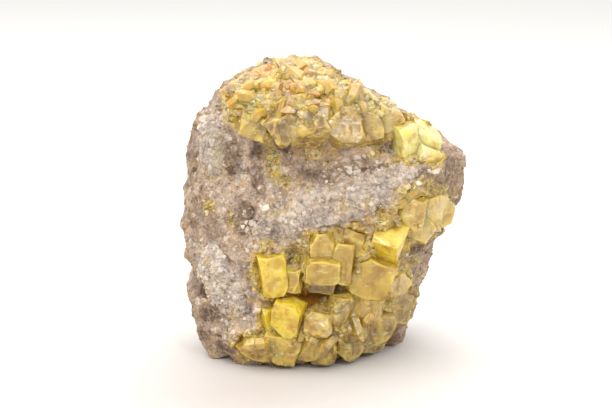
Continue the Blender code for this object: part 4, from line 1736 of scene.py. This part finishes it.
@dataclass(frozen=True)
class Studio:
    """Plain pale floor with painted shade in front of the specimen, soft light and the camera."""

    target: Triple = (-3.94, 0.0, 29.6)
    elevation: float = 13.0
    distance: float = 340.0
    lens: float = 100.0
    clip: Pair = (0.01, 10.0)
    floor_radius: float = 700.0
    floor_corners: int = 96
    floor_drop: float = 0.02
    floor_roughness: float = 0.9
    floor_colour: str = "#E0DFDB"
    # Painted shade on the floor: darkest within the first fade radius of the near spot, gone beyond the
    # second.
    painted_floor_shade: str = "#B8B0AA"
    near: Pair = (-16.0, -32.0)
    fade: Pair = (5.0, 80.0)
    sky: float = 1.25
    room: float = 0.4
    horizon: Pair = (-0.75, -0.15)
    lamps: tuple[Lamp, ...] = (
        Lamp("soft_box_above", (-110.0, 60.0, 420.0), 600.0, 2.0),
        Lamp("soft_box_front", (-90.0, -340.0, 260.0), 260.0, 0.8),
        Lamp("small_lamp_front", (160.0, -330.0, 260.0), 60.0, 0.5),
        Lamp("spark_front", (-60.0, -340.0, 190.0), 10.0, 0.08),
        Lamp("spark_side", (260.0, -240.0, 150.0), 10.0, 0.08),
        Lamp("spark_left", (-220.0, -250.0, 330.0), 10.0, 0.08),
    )

    def floor(self) -> None:
        """Lay a pale disc below the specimen: a polygon about the origin, darkened by painted shade about a
        spot in front of the specimen.
        """
        mesh = bpy.data.meshes.new("floor")
        heading = np.linspace(0, 2 * math.pi, self.floor_corners, endpoint=False)
        rim = np.stack([np.cos(heading), np.sin(heading), np.zeros_like(heading)], axis=1)
        corners = [tuple(place) for place in rim * self.floor_radius * MM]
        mesh.from_pydata(corners, [], [tuple(range(self.floor_corners))])
        recipe = Recipe("paper_matt_white")
        centre = (*(-place * MM for place in self.near), 0.0)
        moved = add_node(recipe.tree, "ShaderNodeVectorMath", {0: recipe.place, 1: centre}, operation="ADD")
        far = add_node(recipe.tree, "ShaderNodeVectorMath", {0: moved.outputs[0]}, operation="LENGTH")
        share = recipe.ranged(far.outputs["Value"], self.fade[0] * MM, self.fade[1] * MM)
        colour = recipe.laid(self.painted_floor_shade, self.floor_colour, share)
        mesh.materials.append(recipe.shade(colour, Roughness=self.floor_roughness))
        made = bpy.data.objects.new("floor", mesh)
        made.location.z = -self.floor_drop * MM
        bpy.context.scene.collection.objects.link(made)

    def placed(self, name: str, data: bpy.types.ID, place: Vector) -> bpy.types.Object:
        """Put a lamp or the camera into the scene, so that it looks at the specimen.

        Args:
            name: the object's name.
            data: the lamp's or the camera's own data.
            place: where it stands, in metres.

        Returns:
            The object.
        """
        made = bpy.data.objects.new(name, data)
        made.location = place
        aim = Vector(self.target) * MM - place
        made.rotation_euler = aim.to_track_quat("-Z", "Y").to_euler()
        bpy.context.scene.collection.objects.link(made)
        return made

    def light(self, lamp: Lamp) -> None:
        """Hang one lamp."""
        data = bpy.data.lights.new(lamp.name, "AREA")
        data.size = lamp.size * MM
        data.energy = lamp.power
        self.placed(lamp.name, data, Vector(lamp.place) * MM)

    def camera(self) -> None:
        """Aim the camera at the middle of the specimen from a little above it."""
        tilt = math.radians(self.elevation)
        back = Vector((0.0, -math.cos(tilt), math.sin(tilt)))
        data = bpy.data.cameras.new("camera")
        data.lens = self.lens
        data.clip_start, data.clip_end = self.clip
        place = (Vector(self.target) + back * self.distance) * MM
        bpy.context.scene.camera = self.placed("camera", data, place)

    def world(self) -> bpy.types.World:
        """Surround the specimen with white, which is darker in front of it than behind it."""
        world = bpy.data.worlds.new("white_room")
        world.use_nodes = True
        tree = world.node_tree
        way = add_node(tree, "ShaderNodeTexCoord").outputs["Generated"]
        parts = add_node(tree, "ShaderNodeSeparateXYZ", {0: way})
        inputs = {"Value": parts.outputs["Y"], "From Min": self.horizon[0], "From Max": self.horizon[1]}
        inputs |= {"To Min": self.room, "To Max": self.sky}
        strength = add_node(tree, "ShaderNodeMapRange", inputs, interpolation_type="SMOOTHSTEP")
        background = tree.nodes["Background"]
        background.inputs["Color"].default_value = linear(WHITE)
        tree.links.new(strength.outputs["Result"], background.inputs["Strength"])
        return world

    def build(self) -> None:
        """Set up floor, sky, lights and camera."""
        scene = bpy.context.scene
        self.floor()
        scene.world = self.world()
        for lamp in self.lamps:
            self.light(lamp)
        scene.view_settings.view_transform = "Standard"
        scene.view_settings.look = "None"
        self.camera()


# ------------------------ main


DRUSE_TINTS = (Tint.GOLD, Tint.BROWN, Tint.PEACH, Tint.BROWN)


@dataclass(frozen=True)
class Finishes:
    """The finished materials, one for each mineral and each clarity of the sulfur."""

    limestone: Material
    calcite: Material
    sulfur: dict[Clarity, Material]


@dataclass(frozen=True)
class Seating:
    """How likely each kind of small grain is to sit at a place.

    Pairs are the values between which a share rises or fades.
    """

    from_above: float = 0.3
    everywhere: float = 0.1
    on_rock_calcite: float = 0.8
    less_beside: float = 0.8
    top_light: float = 0.4
    below_cap: float = 0.08
    cap: Pair = (49.0, 51.5)
    to_right: Pair = (19.0, 22.0)
    open_fragments: float = 0.1
    open_crystals: float = 0.15

    def facing(self, ground: Surface) -> Array:
        """Favour the rock's open front, and leave out what crystals cover."""
        front = np.clip(-ground.normals()[:, 1] + self.from_above, 0.0, 1.0)
        return front * (1 - ground.paints["covered"])

    def on_calcite(self, crust: Surface, ground: Surface, facing: Array) -> Array:
        """Favour the crusts' fronts, then the calcite on the rock, whose skin comes last in crust."""
        chance = np.clip(-crust.normals()[:, 1], 0.0, 1.0)
        on_rock = self.on_rock_calcite * facing * ground.paints["calcite"] ** 2
        chance[-len(facing) :] = on_rock * (1 - ground.paints["sulfur"])
        return chance

    def on_stains(self, ground: Surface, facing: Array) -> Array:
        """Favour the rock's sulfur stains, away from dark and amber places and the crystals' feet."""
        paints = ground.paints
        chance = facing * paints["sulfur"] ** 3 * (1 - paints["dark"]) * (1 - paints["amber"])
        return chance * (1 - self.less_beside * paints["beside"])

    def on_masses(self, mass: Surface) -> Array:
        """Favour the cap, and leave out the right lobe's edge."""
        normals = mass.normals()
        chance = np.clip(-normals[:, 1] + self.top_light * normals[:, 2], 0.0, 1.0)
        chance *= self.below_cap + smooth_step(mass.points[:, 2], *self.cap)
        return chance * (1 - smooth_step(mass.points[:, 0], *self.to_right))


def dress(
    skin: Surface, name: str, material: Material, node: str = "", smooth: bool = False
) -> None:
    """Put a skin into the scene as one piece of the specimen, and report it.

    Args:
        skin: its shape.
        name: the piece's name.
        material: its finish.
        node: the solid that it stands in for, if it does.
        smooth: shade across its edges.
    """
    piece = skin.piece(name, material, smooth)
    if node:
        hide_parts(node)
    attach(piece, BODY)
    LOG.info("%s: %d triangles", piece.name, len(piece.data.polygons))


def scatter(
    grains: Grains, material: Material, ground: Surface, chance: Array, tints: tuple[Tint, ...] = ()
) -> None:
    """Seat one kind of grain on a skin and put it into the scene.

    Args:
        grains: the kind.
        material: its finish.
        ground: the skin that carries it.
        chance: how likely each of the skin's corners is to carry a grain.
        tints: body colours to pick from.
    """
    dress(grains.surface(ground, chance, tints), grains.name, material)


def build_minerals(finishes: Finishes) -> tuple[Surface, Surface, Surface]:
    """Build the rock, the calcite crusts and the sulfur crystals in place of their solids.

    Args:
        finishes: the materials.

    Returns:
        The skins that carry small grains: the rock, the crusts with the rock, and the crowded
        sulfur masses.
    """
    ground = MatrixRock().surface()
    dress(ground, "limestone_matrix_skin", finishes.limestone, node="limestone_matrix")
    crusts = []
    for vein in VEINS:
        crusts.append(vein.surface())
        dress(crusts[-1], f"{vein.node}_sugar", finishes.calcite, node=vein.node, smooth=True)
    masses = []
    for group in CRYSTALS:
        skin = group.surface()
        if group.growth is CROWDED:
            masses.append(skin)
        finish = finishes.sulfur[group.growth.clarity]
        dress(skin, f"{group.node}_growth", finish, node=group.node)
    return ground, Surface.joined([*crusts, ground]), Surface.joined(masses)


def build_grains(finishes: Finishes, ground: Surface, crust: Surface, mass: Surface) -> None:
    """Scatter the small grains over the minerals.

    Args:
        finishes: the materials.
        ground: the rock.
        crust: the calcite crusts, then the rock.
        mass: the crowded sulfur masses.
    """
    seating = Seating()
    milky, cloudy = finishes.sulfur[Clarity.MILKY], finishes.sulfur[Clarity.CLOUDY]
    facing = seating.facing(ground)
    scatter(CRUMBS, finishes.limestone, ground, seating.everywhere + facing)
    scatter(SUGAR, finishes.calcite, crust, seating.on_calcite(crust, ground, facing))
    scatter(SMALL_CRYSTALS, milky, ground, seating.on_stains(ground, facing), DRUSE_TINTS)
    outer, root = seating.on_masses(mass), mass.paints["root"]
    scatter(FRAGMENTS, cloudy, mass, outer * (seating.open_fragments + root))
    scatter(MASS_CRYSTALS, milky, mass, outer * (seating.open_crystals + root))


def main() -> None:
    """Build every piece of the specimen in place of its solid, then the studio."""
    logging.basicConfig(level=logging.INFO, format="%(name)s: %(message)s")
    sulfur = {clarity: NativeSulfur(clarity).material() for clarity in Clarity}
    finishes = Finishes(HammerBrokenLimestone().material(), SugaryCalcite().material(), sulfur)
    ground, crust, mass = build_minerals(finishes)
    build_grains(finishes, ground, crust, mass)
    Studio().build()


if __name__ == "__main__":
    main()
